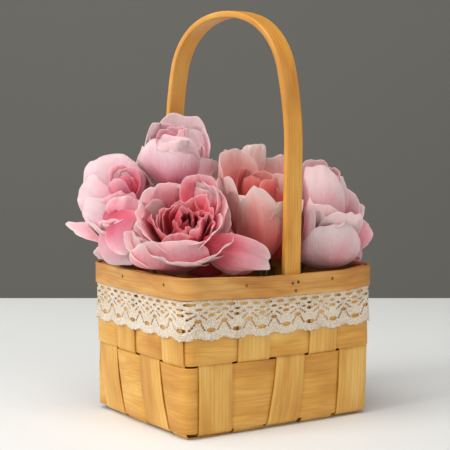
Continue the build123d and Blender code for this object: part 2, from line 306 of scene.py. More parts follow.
def grain_group():
    """Wood grain that runs along the strip: fine fibres, wavy growth lines and slow patches of tone."""
    group = new_group(
        "wood grain",
        [("Vector", "NodeSocketVector", None), ("Line Spacing", "NodeSocketFloat", 3.0),
         ("Waviness", "NodeSocketFloat", 1.0)],
        [("Fibres", "NodeSocketFloat"), ("Lines", "NodeSocketFloat"), ("Patches", "NodeSocketFloat")],
    )
    source, target = group.nodes["Group Input"], group.nodes["Group Output"]
    vector = source.outputs["Vector"]

    def stretched(along, across):
        node = add(group, "ShaderNodeVectorMath", {0: vector, 1: (along, across, 1.0)}, operation="MULTIPLY")
        return node.outputs[0]

    fibres = noise_at(group, stretched(22, 1500), 1.0, 3.0, 0.6)
    fine = noise_at(group, stretched(60, 4200), 1.0, 2.0, 0.5)
    coarse_part, fine_part = math_node(group, "MULTIPLY", fibres, 0.65), math_node(group, "MULTIPLY", fine, 0.35)
    fibre_mix = math_node(group, "ADD", coarse_part, fine_part)
    drift = noise_at(group, stretched(11, 70), 1.0, 2.0, 0.5)
    across = add(group, "ShaderNodeSeparateXYZ", {0: vector}).outputs["Y"]
    phase = math_node(group, "DIVIDE", math_node(group, "MULTIPLY", across, 1000), source.outputs["Line Spacing"])
    swing = math_node(group, "MULTIPLY", math_node(group, "MULTIPLY", drift, 9.0), source.outputs["Waviness"])
    wave = math_node(group, "SINE", math_node(group, "MULTIPLY", math_node(group, "ADD", phase, swing), 6.283))
    lines = math_node(group, "MULTIPLY_ADD", wave, 0.5, 0.5)
    sharp = math_node(group, "POWER", lines, 3.0)
    patches = noise_at(group, stretched(14, 45), 1.0, 3.0, 0.5)
    group.links.new(fibre_mix, target.inputs["Fibres"])
    group.links.new(sharp, target.inputs["Lines"])
    group.links.new(patches, target.inputs["Patches"])
    return group


def wood_material(name, pale, middle, deep, grain, spacing, waviness, roughness, coat=0.15, fibre_depth=0.35):
    material = bpy.data.materials.new(name)
    material.use_nodes = True
    tree = material.node_tree
    shader = tree.nodes["Principled BSDF"]
    uv = add(tree, "ShaderNodeUVMap").outputs["UV"]
    group = add(tree, "ShaderNodeGroup", node_tree=grain)
    tree.links.new(uv, group.inputs["Vector"])
    group.inputs["Line Spacing"].default_value = spacing
    group.inputs["Waviness"].default_value = waviness
    fibres, lines, patches = (group.outputs[k] for k in ("Fibres", "Lines", "Patches"))
    base = ramp(tree, patches, [(0.3, pale), (0.52, middle), (0.74, deep)])
    lined = blend(tree, math_node(tree, "MULTIPLY", lines, 0.22), base, deep)
    streak = ramp(tree, fibres, [(0.34, 1.0), (0.66, 0.0)])
    streaked = blend(tree, math_node(tree, "MULTIPLY", streak, fibre_depth), lined, deep, "MULTIPLY")
    glint = ramp(tree, fibres, [(0.56, 0.0), (0.72, 1.0)])
    final = blend(tree, math_node(tree, "MULTIPLY", glint, 0.30), streaked, pale)
    tree.links.new(final, shader.inputs["Base Color"])
    rough = math_node(tree, "MULTIPLY_ADD", fibres, 0.25, roughness - 0.12)
    tree.links.new(rough, shader.inputs["Roughness"])
    height = math_node(tree, "ADD", math_node(tree, "MULTIPLY", fibres, 0.7), math_node(tree, "MULTIPLY", lines, 0.3))
    bump = add(tree, "ShaderNodeBump", {"Height": height, "Strength": 0.35, "Distance": 0.00025})
    tree.links.new(bump.outputs["Normal"], shader.inputs["Normal"])
    shader.inputs["Coat Weight"].default_value = coat
    shader.inputs["Coat Roughness"].default_value = 0.3
    shader.inputs["Specular IOR Level"].default_value = 0.4
    return material


grain = grain_group()
stave_wood = wood_material(
    "stave_wood", srgb(242, 203, 116), srgb(225, 174, 82), srgb(190, 128, 44), grain, 3.2, 0.35, 0.55
)
weaver_wood = wood_material(
    "weaver_wood", srgb(240, 196, 104), srgb(222, 165, 70), srgb(186, 120, 36), grain, 5.2, 0.8, 0.5
)
rim_wood = wood_material("rim_wood", srgb(236, 190, 112), srgb(208, 147, 66), srgb(154, 92, 32), grain, 8.0, 0.7, 0.5)
handle_wood = wood_material(
    "handle_wood", srgb(236, 184, 90), srgb(222, 160, 60), srgb(184, 114, 32), grain, 2.0, 0.25, 0.42, coat=0.25
)


# --- Weavers ----------------------------------------------------------------------------------------------------
WALLS = ("front", "right", "back", "left")


def wall_layout(wall, z):
    """Stave edges along a wall in the direction that a weaver runs, anticlockwise seen from above."""
    staves = {"front": FRONT_STAVES, "right": RIGHT_STAVES, "back": BACK_STAVES, "left": LEFT_STAVES}[wall]
    spans = [edges_at(stave, z) for stave in staves]
    if wall in ("back", "left"):
        return [(-high, -low) for low, high in reversed(spans)]
    return spans


def stave_sides(wall, row):
    """OUT or IN for each stave along a wall in the direction that a weaver runs."""
    if wall in ("front", "back"):
        first = OUT if (row + (wall == "back")) % 2 == 0 else IN
        return [first * (-1) ** k for k in range(5)]
    sides = [IN if (j + row) % 2 == 0 else OUT for j in range(4)]
    return sides if wall == "right" else sides[::-1]


def weaver_level(wall, row, a, z):
    """The weaver's offset at place a, in its own running direction: it passes each stave on the other side."""
    spans, sides = wall_layout(wall, z), stave_sides(wall, row)
    level = STEP
    previous_end, previous_side = None, OUT
    for (low, high), stave_side in zip(spans, sides):
        wanted = -stave_side
        if wanted != previous_side:
            if previous_end is None:
                centre, reach = low - 1.3, 1.3
            else:
                centre, reach = (previous_end + low) / 2, max((low - previous_end) / 2, 0.9) + 0.3
            level += (wanted - previous_side) * STEP * ease(centre - reach, centre + reach, a)
            previous_side = wanted
        bump = math.cos(math.pi * clamp((a - (low + high) / 2) / (high - low + 2), -0.5, 0.5)) ** 2
        level += wanted * 0.45 * bump
        previous_end = high
    if previous_side != OUT:
        level += 2 * STEP * ease(previous_end, previous_end + 2.6, a)
    return level


def corner_radius(z):
    """Plan radius of the weave's middle surface at the corners: tighter at the floor than at the rim."""
    return mix(5.0, 8.5, ease(40, 100, z))


def ring_place(s, z, level, lift=0.0):
    """Point at share s of the way round at height z, starting at the front wall's left end; level(wall, a) is the
    offset along each wall, and lift raises the point without changing its place on the wall."""
    radius = corner_radius(z)
    lengths = []
    for wall in WALLS:
        half = (half_width(z) if wall in ("front", "back") else half_depth(z)) - radius
        lengths += [2 * half, math.pi * radius / 2]
    nominal = []
    for wall in WALLS:
        half = (HALF_WIDTH if wall in ("front", "back") else HALF_DEPTH) - CORNER
        nominal += [2 * half, math.pi * CORNER / 2]
    place = s * sum(nominal)
    for n, length in enumerate(nominal):
        if place <= length or n == 7:
            break
        place -= length
    share = clamp(place / nominal[n])
    wall = WALLS[n // 2]
    half = (half_width(z) if wall in ("front", "back") else half_depth(z)) - radius
    sense = 1 if wall in ("front", "right") else -1
    if n % 2 == 0:
        run = mix(-half, half, share)
        point = wall_point(wall, sense * run, z, level(wall, run))
    else:
        following = WALLS[(n // 2 + 1) % 4]
        next_half = (half_width(z) if following in ("front", "back") else half_depth(z)) - radius
        next_sense = 1 if following in ("front", "right") else -1
        start = wall_point(wall, sense * half, z, level(wall, half))
        end = wall_point(following, next_sense * -next_half, z, level(following, -next_half))
        turn = share * math.pi / 2
        along = {"front": (1, 0), "right": (0, 1), "back": (-1, 0), "left": (0, -1)}
        run_a, run_b = Vector((*along[wall], 0)), Vector((*along[following], 0))
        reach_a = (end - start).dot(run_a)
        reach_b = (end - start).dot(run_b)
        point = start + run_a * reach_a * math.sin(turn) + run_b * reach_b * (1 - math.cos(turn))
        point.z = mix(start.z, end.z, share)
    point.z += lift
    return point


def ring_piece(name, columns, rows, low, high, level, thickness, material, nodes, seed, edge=0.35, rounding=0.2):
    """A band round the whole basket between heights low and high."""
    def place(u, v):
        s = (u + 0.27) % 1.0
        waver = edge * wobble(u * 23, v * 2, seed)
        z = mix(low, high, v)
        return ring_place(s, z, lambda wall, a: level(wall, a, z), waver)

    bm = grid_mesh(columns, rows, place, (GIRTH, high - low), (seed * 0.37, seed * 0.11))
    bmesh.ops.remove_doubles(bm, verts=bm.verts, dist=2e-6)
    bmesh.ops.recalc_face_normals(bm, faces=bm.faces)
    piece = make_piece(name, bm, material, "basket", nodes)
    thicken(piece, thickness, rounding)
    return piece


def make_weavers():
    for row, (name, low, high) in enumerate((("weaver_lower", 3.6, SPLIT - 0.7), ("weaver_upper", SPLIT + 0.7, 96.0))):
        ring_piece(
            f"{name}_strip", 640, 12, low, high, lambda wall, a, z, row=row: weaver_level(wall, row, a, z),
            VENEER, weaver_wood, [name], 3 + row,
        )


# --- Staves -----------------------------------------------------------------------------------------------------
def make_stave(name, along_x, near_stave, far_stave, near_sides, far_sides, unders, spans, seed, sink=1.2):
    """One stave from rim to rim under the basket. near is the front or left wall, far the back or right one."""
    near_wall, far_wall = ("left", "right") if along_x else ("front", "back")
    half_span = half_width if along_x else half_depth
    top = BODY - sink
    wall_run = top - BEND - BASE_LEVEL
    arc = BEND * math.pi / 2
    inner = half_span(0) - BEND
    lengths = (wall_run, arc, 2 * inner, arc, wall_run)
    total = sum(lengths)

    def wall_level(sides, z):
        rise = ease(SPLIT - 1.7, SPLIT + 1.7, z)
        level = mix(sides[0], sides[1], rise) * STEP
        lower = math.cos(math.pi * clamp((z - 24) / 42, -0.5, 0.5)) ** 2
        upper = math.cos(math.pi * clamp((z - 72) / 50, -0.5, 0.5)) ** 2
        return level + 0.5 * (sides[0] * lower + sides[1] * upper)

    def base_level(q):
        level = OUT if unders[0] else IN
        value = level * STEP
        for n in range(len(spans) - 1):
            following = OUT if unders[n + 1] else IN
            if following != level:
                centre = (spans[n][1] + spans[n + 1][0]) / 2
                value += (following - level) * STEP * ease(centre - TURN_REACH, centre + TURN_REACH, q)
                level = following
        return value

    def place(u, v):
        run = u * total
        side = v * 2 - 1
        cup = -0.16 * side * side
        for section, length in enumerate(lengths):
            if run <= length or section == 4:
                break
            run -= length
        if section in (0, 4):
            z = top - run if section == 0 else BEND + BASE_LEVEL + run
            wall, stave, sides = (
                (near_wall, near_stave, near_sides) if section == 0 else (far_wall, far_stave, far_sides)
            )
            low, high = edges_at(stave, z)
            waver = 0.3 * wobble(z * 0.06, seed, side * 0.4) * ease(0, 1, abs(side))
            return wall_point(wall, mix(low, high, v) + waver, z, wall_level(sides, z) + cup)
        near_low, near_high = near_stave[2]
        far_low, far_high = far_stave[2]
        if section == 2:
            q = -inner + run
            share = run / length
            down = base_level(q)
            a = mix(mix(near_low, near_high, v), mix(far_low, far_high, v), share)
            height = BASE_LEVEL - down
            return Vector((q, a, height)) if along_x else Vector((a, q, height))
        first = section == 1
        wall, stave, sides = (near_wall, near_stave, near_sides) if first else (far_wall, far_stave, far_sides)
        turn = run / arc if first else 1 - run / arc
        start_low, start_high = edges_at(stave, BEND + BASE_LEVEL)
        foot_low, foot_high = stave[2]
        a = mix(mix(start_low, start_high, v), mix(foot_low, foot_high, v), turn)
        start = wall_point(wall, a, BEND + BASE_LEVEL, wall_level(sides, BEND + BASE_LEVEL) + cup)
        q_end = -inner if first else inner
        height = BASE_LEVEL - base_level(q_end)
        q_start = start.x if along_x else start.y
        angle = turn * math.pi / 2
        q = mix(q_start, q_end, 1 - math.cos(angle))
        z = mix(start.z, height, math.sin(angle))
        return Vector((q, a, z)) if along_x else Vector((a, q, z))

    bm = grid_mesh(260, 6, place, (total, STAVE_WIDTH), (seed * 0.31, seed * 0.17))
    bmesh.ops.recalc_face_normals(bm, faces=bm.faces)
    piece = make_piece(f"{name}_strip", bm, stave_wood, "basket", [name])
    thicken(piece, VENEER, 0.2)


def make_staves():
    side_feet = [tuple((LEFT_STAVES[j][2][i] + RIGHT_STAVES[j][2][i]) / 2 for i in (0, 1)) for j in range(4)]
    front_feet = [tuple((FRONT_STAVES[k][2][i] + BACK_STAVES[k][2][i]) / 2 for i in (0, 1)) for k in range(5)]
    for k in range(5):
        near = [OUT if (k + row) % 2 == 0 else IN for row in (0, 1)]
        far = [-side for side in near]
        unders = [(k + j) % 2 == 1 for j in range(4)]
        make_stave(
            f"stave_front_{k + 1}", False, FRONT_STAVES[k], BACK_STAVES[k], near, far, unders, side_feet, 11 + k
        )
    for j in range(4):
        sides = [IN if (j + row) % 2 == 0 else OUT for row in (0, 1)]
        unders = [(k + j) % 2 == 0 for k in range(5)]
        make_stave(
            f"stave_side_{j + 1}", True, LEFT_STAVES[j], RIGHT_STAVES[j], sides, sides, unders, front_feet, 21 + j
        )


# --- Rim bands, nails -------------------------------------------------------------------------------------------
RIM_HEIGHT, RIM_THICK = RIM_HIGH.z - RIM_LOW.z, 1.8
RIM_OFFSET = STEP + VENEER / 2 + 0.15 + RIM_THICK / 2
INNER_OFFSET = -STEP - VENEER / 2 - 0.15 - RIM_THICK / 2
HANDLE_LOW, HANDLE_HIGH = box_mm("handle")
HANDLE_THICK = 4.0
HANDLE_FOOT = HANDLE_HIGH.y - 4.85  # the strip's middle at its foot; it swells outward above
HANDLE_SKEW = math.tan(math.radians(10.0))
FOOT_X = HANDLE_FOOT * HANDLE_SKEW
HALF_SLOT = 8.0  # half the gap in the inner band where a handle foot stands
INNER_DEEP, INNER_DROP = 12.2, 0.2  # the inner band's edges below the rim


def make_rims():
    ring_piece(
        "rim_outer_band", 420, 8, BODY - RIM_HEIGHT, BODY, lambda wall, a, z: RIM_OFFSET, RIM_THICK, rim_wood,
        ["rim_outer"], 7, edge=0.3, rounding=0.45,
    )
    for number, (start, end) in enumerate(((0.0, 0.5), (0.5, 1.0))):
        def place(u, v, start=start, end=end):
            mid_front = (HALF_WIDTH - CORNER + FOOT_X) / GIRTH
            half_slot = HALF_SLOT / GIRTH
            s = mid_front + mix(start + half_slot, end - half_slot, u)
            z = mix(BODY - INNER_DEEP, BODY - INNER_DROP, v)
            return ring_place(s % 1.0, z, lambda wall, a: INNER_OFFSET, 0.25 * wobble(u * 12, 3, number))

        bm = grid_mesh(200, 6, place, (245, 12), (0.4 + number, 0.2))
        bmesh.ops.recalc_face_normals(bm, faces=bm.faces)
        piece = make_piece(
            f"rim_inner_band_{number + 1}", bm, rim_wood, "basket", ["rim_inner"] if number == 0 else []
        )
        thicken(piece, RIM_THICK, 0.4)


NAIL_RADIUS = 1.1


def make_nails():
    """Nail heads: low domes on the rim band, some driven a little askew."""
    steel = bpy.data.materials.new("nail_steel")
    steel.use_nodes = True
    tree = steel.node_tree
    shader = tree.nodes["Principled BSDF"]
    position = add(tree, "ShaderNodeTexCoord").outputs["Object"]
    spots = noise_at(tree, position, 900.0, 3.0)
    rusty = ramp(tree, spots, [(0.35, srgb(86, 58, 30)), (0.65, srgb(150, 118, 74))])
    tree.links.new(rusty, shader.inputs["Base Color"])
    tree.links.new(math_node(tree, "MULTIPLY_ADD", spots, 0.4, 0.25), shader.inputs["Roughness"])
    shader.inputs["Metallic"].default_value = 0.85
    face = RIM_OFFSET + RIM_THICK / 2
    mid = centre_mm("rim_nails").z
    pair = box_mm("handle_nails")[1].z - NAIL_RADIUS
    single = box_mm("handle_nails")[0].z + NAIL_RADIUS
    rows = {
        "rim_nails": [("front", -30.0, mid), ("front", 37.0, mid + 0.5), ("back", 30.0, mid), ("back", -37.0, mid),
                      ("left", 14.5, mid), ("left", -37.0, mid), ("right", -14.5, mid), ("right", 37.0, mid)],
        "handle_nails": [("front", 5.3, pair - 0.4), ("front", 9.7, pair + 0.2), ("front", 7.8, single - 0.1),
                         ("back", -9.7, pair), ("back", -5.3, pair), ("back", -7.5, single)],
    }
    normals = {"front": (0, -1, 0), "back": (0, 1, 0), "left": (-1, 0, 0), "right": (1, 0, 0)}
    for name, places in rows.items():
        bm = bmesh.new()
        for n, (wall, a, z) in enumerate(places):
            centre = wall_point(wall, a, z, face) * MM
            turn = Vector((0, 0, 1)).rotation_difference(Vector(normals[wall])).to_matrix().to_4x4()
            made = bmesh.ops.create_uvsphere(bm, u_segments=16, v_segments=8, radius=1.05 * MM)["verts"]
            bmesh.ops.scale(bm, vec=(1, 1, 0.42), verts=made)
            skew = Matrix.Rotation(0.12 * wobble(n * 3.1, a), 4, "X")
            bmesh.ops.transform(bm, matrix=Matrix.Translation(centre) @ turn @ skew, verts=made)
        make_piece(name + "_heads", bm, steel, "basket", [name])


# --- Handle -----------------------------------------------------------------------------------------------------
def handle_centre():
    """The handle's middle line as (distance from the middle, height, heading) from the foot to the crown."""
    foot, top = HANDLE_FOOT, HANDLE_HIGH.z - HANDLE_THICK / 2
    arcs = [(60.0, 0.0, -1.5), (210.0, -1.5, 14.0), (45.0, 14.0, 70.0)]

    def step(radius, start, end):
        a, b = math.radians(start), math.radians(end)
        sense = 1 if end > start else -1
        return sense * radius * (math.cos(a) - math.cos(b)), sense * radius * (math.sin(b) - math.sin(a))

    moved = [step(*arc) for arc in arcs]
    inward, up = sum(m[0] for m in moved), sum(m[1] for m in moved)
    splay, crown = math.radians(1.5), math.radians(70.0)
    rise, reach = top - BODY - up, foot - inward
    share = (1 - math.sin(crown)) / math.cos(crown)
    leg = (rise - share * reach) / (math.cos(splay) + share * math.sin(splay))
    crown_radius = (reach + leg * math.sin(splay)) / math.cos(crown)
    sections = [("line", 17.0, 0.0), ("arc", 60.0, 0.0, -1.5), ("line", leg, -1.5), ("arc", 210.0, -1.5, 14.0),
                ("arc", 45.0, 14.0, 70.0), ("arc", crown_radius, 70.0, 90.0)]
    points = [(foot, HANDLE_LOW.z, 0.0)]
    y, z = foot, HANDLE_LOW.z
    for section in sections:
        if section[0] == "line":
            length, heading = section[1], math.radians(section[2])
            for _ in range(12):
                y -= math.sin(heading) * length / 12
                z += math.cos(heading) * length / 12
                points.append((y, z, section[2]))
        else:
            _, radius, start, end = section
            for n in range(1, 25):
                a = math.radians(mix(start, end, (n - 1) / 24))
                b = math.radians(mix(start, end, n / 24))
                sense = 1 if end > start else -1
                y -= sense * radius * (math.cos(a) - math.cos(b))
                z += sense * radius * (math.sin(b) - math.sin(a))
                points.append((y, z, math.degrees(b)))
    return points


def even_out(points, count):
    """The line's points respaced evenly: count + 1 of them."""
    runs = [0.0]
    for a, b in zip(points, points[1:]):
        runs.append(runs[-1] + math.dist(a[:2], b[:2]))
    result, n = [], 0
    for k in range(count + 1):
        want = runs[-1] * k / count
        while n < len(runs) - 2 and runs[n + 1] < want:
            n += 1
        share = clamp((want - runs[n]) / (runs[n + 1] - runs[n]))
        result.append(tuple(mix(points[n][i], points[n + 1][i], share) for i in range(3)))
    return result, runs[-1]


def make_handle():
    half, length = even_out(handle_centre(), 120)
    line = [(-y, z, -h) for y, z, h in half] + [(y, z, h) for y, z, h in reversed(half[:-1])]

    def place(u, v):
        at = u * 240
        n = min(int(at), 239)
        y, z, heading = (mix(line[n][i], line[n + 1][i], at - n) for i in range(3))
        high = clamp((z - BODY) / 166)
        side = v * 2 - 1
        width = 12.5 + 0.5 * high + 0.35 * wobble(z * 0.03, 4.2, 1 if y < 0 else 2)
        x = -y * HANDLE_SKEW + side * width / 2 - 2.2 * ease(0, 1, high)
        y = y - 1.6 * ease(0, 1, high)
        crown = 0.25 * (1 - side * side)
        normal = math.radians(abs(heading)) if abs(heading) <= 90 else math.pi / 2
        sign = -1 if heading < 0 or (heading == 0 and y < 0) else 1
        return Vector((x, y + sign * crown * math.cos(normal), z + crown * math.sin(normal)))

    bm = grid_mesh(240, 6, place, (2 * length, 12.5), (0.9, 0.4))
    bmesh.ops.recalc_face_normals(bm, faces=bm.faces)
    piece = make_piece("handle_strip", bm, handle_wood, "basket", ["handle"])
    thicken(piece, HANDLE_THICK, 0.9, 3)


# --- Lace -------------------------------------------------------------------------------------------------------
LACE_LOW, LACE_HIGH = box_mm("lace_trim")
LACE_WIDTH, SCALLOP = LACE_HIGH.z - LACE_LOW.z, 19.1
LACE_REPEATS = 27


def lace_holes():
    """Holes of one repeat as (along, down, half length, half height, tilt in degrees)."""
    holes = []
    for a in (-4.8, 4.8):
        holes.append((a, 2.5, 3.1, 0.95, 0))
    for a in (0.0, 9.55):
        holes.append((a, 5.5, 2.3, 0.75, 0))
    for a in (-4.8, 4.8):
        holes.append((a, 7.5, 1.8, 0.65, 0))
    holes.append((0.0, 9.0, 2.6, 1.0, 0))
    holes.append((9.55, 12.8, 2.5, 1.2, 0))
    for side in (-1, 1):
        for a, b in ((7.4, 9.4), (5.6, 10.6), (3.9, 11.7)):
            holes.append((side * a, b, 1.0, 0.6, side * -34))
        for a, b in ((7.2, 15.0), (6.1, 16.6), (5.0, 18.1)):
            holes.append((side * a, b, 0.85, 0.7, side * -40))
    holes.append((0.0, 18.5, 3.4, 1.35, 0))
    return holes


def lace_edge(a):
    """How far the lace reaches down at place a of a repeat, with its small picots."""
    scallop = 21.9 + 2.5 * max(math.cos(math.pi * a / SCALLOP), 0.0) ** 0.55
    return scallop + 0.7 * abs(math.cos(math.pi * a * 4 / SCALLOP))


def lace_material():
    """Cotton thread: twisted strands as relief, with painted highlight on their crowns and painted shade in the
    grooves between them.
    """
    material = bpy.data.materials.new("lace_cotton")
    material.use_nodes = True
    tree = material.node_tree
    shader = tree.nodes["Principled BSDF"]
    uv = add(tree, "ShaderNodeUVMap").outputs["UV"]
    cells = add(tree, "ShaderNodeTexVoronoi", {"Vector": uv, "Scale": 1350.0, "Randomness": 0.85},
                feature="F1").outputs["Distance"]
    thread = ramp(tree, cells, [(0.12, 1.0), (0.6, 0.0)])
    strands = noise_at(tree, add(tree, "ShaderNodeVectorMath", {0: uv, 1: (500.0, 1500.0, 1.0)},
                                 operation="MULTIPLY").outputs[0], 1.0, 2.0)
    relief = math_node(tree, "MULTIPLY_ADD", strands, 0.6, math_node(tree, "MULTIPLY", thread, 0.7))
    slow = noise_at(tree, uv, 55.0, 2.0)
    # the colour follows the relief: painted shade in the grooves, painted highlight on the crowns, plus slow changes
    # of tone
    tone = math_node(tree, "MULTIPLY_ADD", relief, 0.6, math_node(tree, "MULTIPLY", slow, 0.3))
    colour = ramp(tree, tone, [(0.2, srgb(176, 152, 122)), (0.45, srgb(228, 214, 194)), (0.8, srgb(248, 242, 232))])
    tree.links.new(colour, shader.inputs["Base Color"])
    bump = add(tree, "ShaderNodeBump", {"Height": relief, "Strength": 0.8, "Distance": 0.0004})
    tree.links.new(bump.outputs["Normal"], shader.inputs["Normal"])
    shader.inputs["Roughness"].default_value = 0.9
    shader.inputs["Sheen Weight"].default_value = 0.3
    shader.inputs["Specular IOR Level"].default_value = 0.2
    return material


def make_lace():
    """The lace as a fine grid: cells in a hole or past the scalloped edge go, and the rest of each hole's border
    is pulled onto its outline."""
    holes = lace_holes()
    columns, rows = 860, 42
    bm = bmesh.new()
    layer = bm.loops.layers.uv.new("UVMap")
    bmesh.ops.create_grid(bm, x_segments=columns, y_segments=rows, size=0.5, calc_uvs=True)
    total = SCALLOP * LACE_REPEATS

    def repeat_place(along):
        return (along + SCALLOP / 2) % SCALLOP - SCALLOP / 2

    def reach(along, down):
        """(share of the way from a hole's middle to its outline, that hole), the nearest one."""
        a = repeat_place(along)
        best = (9.0, None, 0.0)
        for hole in holes:
            for shift in (-SCALLOP, 0.0, SCALLOP):
                dx, dy = a - hole[0] - shift, down - hole[1]
                if abs(dx) > 4 or abs(dy) > 3:
                    continue
                turn = math.radians(hole[4])
                along_hole = dx * math.cos(turn) + dy * math.sin(turn)
                across_hole = dy * math.cos(turn) - dx * math.sin(turn)
                share = math.hypot(along_hole / hole[2], across_hole / hole[3])
                if share < best[0]:
                    best = (share, hole, shift)
        return best

    flat = {}
    for vert in bm.verts:
        along, down = (vert.co.x + 0.5) * total, (0.5 - vert.co.y) * LACE_WIDTH * 1.02
        flat[vert.index] = (along, down)
        for loop in vert.link_loops:
            loop[layer].uv = (along * MM, down * MM)
    gone = []
    for face in bm.faces:
        along = sum(flat[v.index][0] for v in face.verts) / 4
        down = sum(flat[v.index][1] for v in face.verts) / 4
        if reach(along, down)[0] < 1.0 or down > lace_edge(repeat_place(along)):
            gone.append(face)
    places = {vert: flat[vert.index] for vert in bm.verts}
    bmesh.ops.delete(bm, geom=gone, context="FACES")
    cell = LACE_WIDTH * 1.02 / rows
    for vert in bm.verts:
        along, down = places[vert]
        if vert.is_boundary:
            share, hole, shift = reach(along, down)
            if hole and share < 1.9 and down > 0.8:
                a = repeat_place(along)
                dx, dy = a - hole[0] - shift, down - hole[1]
                pull = 1.0 / max(share, 0.3)
                step = clamp(math.hypot(dx * (pull - 1), dy * (pull - 1)), 0, cell * 0.8)
                size = math.hypot(dx * (pull - 1), dy * (pull - 1)) or 1.0
                along += dx * (pull - 1) * step / size
                down += dy * (pull - 1) * step / size
            elif down > 15:
                want = lace_edge(repeat_place(along))
                down += clamp(want - down, -cell, cell)
        places[vert] = (along, down)

    def place(along, down):
        s = along / total
        wave = 0.3 * wobble(along * 0.09, 8.0) + 0.25 * wobble(along * 0.35, 5.0)
        flare = 0.5 + 0.5 * wobble(along * 0.05, 2.0) + 0.35 * math.cos(2 * math.pi * along / SCALLOP)
        stand = 1.55 + 1.1 * flare * ease(9, 25, down) ** 2
        z = LACE_HIGH.z + 0.2 - down + wave * (1 - 0.5 * ease(0, 25, down))
        return ring_place((s + 0.02) % 1.0, z, lambda wall, a: stand)

    for vert in bm.verts:
        vert.co = Vector((*places[vert], 0.0)) * MM
    area = sum(face.calc_area() for face in bm.faces)  # of the pattern lying flat, before it goes round the basket
    for vert in bm.verts:
        vert.co = place(*places[vert]) * MM
    bmesh.ops.remove_doubles(bm, verts=bm.verts, dist=2e-5)
    bmesh.ops.recalc_face_normals(bm, faces=bm.faces)
    piece = make_piece("lace_trim_band", bm, lace_material(), "basket", ["lace_trim"])
    thicken(piece, 0.75)


# --- Peonies ----------------------------------------------------------------------------------------------------
def petal_material(name, pale, middle, deep, heart):
    """Dyed silk: pale at the rim, deeper toward the base, with fine veins along the petal."""
    material = bpy.data.materials.new(name)
    material.use_nodes = True
    tree = material.node_tree
    shader = tree.nodes["Principled BSDF"]
    uv = add(tree, "ShaderNodeUVMap").outputs["UV"]
    parts = add(tree, "ShaderNodeSeparateXYZ", {0: uv})
    across, along = parts.outputs["X"], parts.outputs["Y"]
    tone = add(tree, "ShaderNodeAttribute", attribute_name="tone").outputs["Fac"]
    drift = noise_at(tree, add(tree, "ShaderNodeTexCoord").outputs["Object"], 45.0, 3.0)
    stretched = add(tree, "ShaderNodeVectorMath", {0: uv, 1: (26.0, 1.6, 1.0)}, operation="MULTIPLY").outputs[0]
    veins = noise_at(tree, stretched, 2.2, 3.0, 0.6, 0.4)
    depth = math_node(tree, "ADD", tone, math_node(tree, "MULTIPLY", math_node(tree, "SUBTRACT", drift, 0.5), 0.5))
    depth = math_node(tree, "ADD", depth, math_node(tree, "MULTIPLY", math_node(tree, "SUBTRACT", veins, 0.5), 0.24))
    colour = ramp(tree, depth, [(0.05, pale), (0.36, middle), (0.66, deep), (0.95, heart)])
    tree.links.new(colour, shader.inputs["Base Color"])
    bump_height = math_node(tree, "ADD", veins, math_node(tree, "MULTIPLY", noise_at(tree, uv, 9.0, 2.0), 0.8))
    bump = add(tree, "ShaderNodeBump", {"Height": bump_height, "Strength": 0.6, "Distance": 0.0009})
    tree.links.new(bump.outputs["Normal"], shader.inputs["Normal"])
    shader.inputs["Roughness"].default_value = 0.55
    shader.inputs["Sheen Weight"].default_value = 0.15
    shader.inputs["Sheen Roughness"].default_value = 0.4
    shader.inputs["Specular IOR Level"].default_value = 0.3
    shader.inputs["Subsurface Weight"].default_value = 0.5
    shader.inputs["Subsurface Radius"].default_value = (0.010, 0.006, 0.006)
    shader.inputs["Subsurface Scale"].default_value = 0.8
    return material


def petal_outline(side, seed, notch, point=0.0):
    """Share of its full length that a petal reaches at side, -1 to 1 across: rounded, uneven and a little frayed."""
    reach = 1 - 0.24 * abs(side) ** 3 + 0.07 * wobble(side * 1.9, seed, 1.3) + 0.03 * wobble(side * 5.5, seed)
    reach += 0.016 * wobble(side * 19, seed, 5.0) + point * (1 - abs(side)) ** 2
    if notch is not None:
        spot, depth = notch
        reach -= depth * math.exp(-(((side - spot) / 0.11) ** 2))
    return reach


def petal_spread(v):
    """Share of its full width that a petal has at v, 0 to 1 along."""
    return (0.34 + 0.66 * math.sin(math.pi / 2 * clamp(v / 0.58)) ** 0.9) * (1 - 0.10 * ease(0.8, 1.0, v))


def petal_wave(side, v, seed, width, ruffle, crease):
    """How far a petal's face stands off its smooth shape: slow waves, folds along it and a ruffled rim."""
    wave = 0.055 * v ** 1.3 * (0.45 + 0.75 * abs(side)) * wobble(side * 1.5, v * 1.2, seed * 1.7)
    wave += 0.034 * v * wobble(side * 6.5, 0.3 + v * 0.5, seed * 3.1)
    wave += 0.055 * v ** 4 * wobble(side * 4.6, v * 1.6, seed * 2.3)
    wave += 0.022 * v ** 6 * wobble(side * 12.0, v * 3.0, seed)
    wave *= width * ruffle
    if crease is not None:
        spot, depth = crease
        away = abs(side - spot - 0.12 * math.sin(v * 3))
        wave -= depth * math.exp(-away / 0.09) * ease(0.05, 0.5, v) * (1 - 0.5 * ease(0.8, 1, v))
    return wave


class Petal:
    """One petal's numbers. Angles are in degrees; the petal leaves the flower's base at angle turn, starts tilted
    root degrees off the flower's axis and ends tip degrees off it."""

    def __init__(self, turn, root, tip, length, width, cup=1.15, tone=(0.7, 0.1), ruffle=1.0, base=2.0, lean=0.0,
                 lift=0.0, crease=None, notch=None, roll=0.0, bend=0.8):
        self.turn, self.root, self.tip = turn, root, tip
        self.length, self.width, self.cup = length, width, cup
        self.tone, self.ruffle, self.base, self.lean = tone, ruffle, base, lean
        self.lift, self.crease, self.notch, self.roll, self.bend = lift, crease, notch, roll, bend


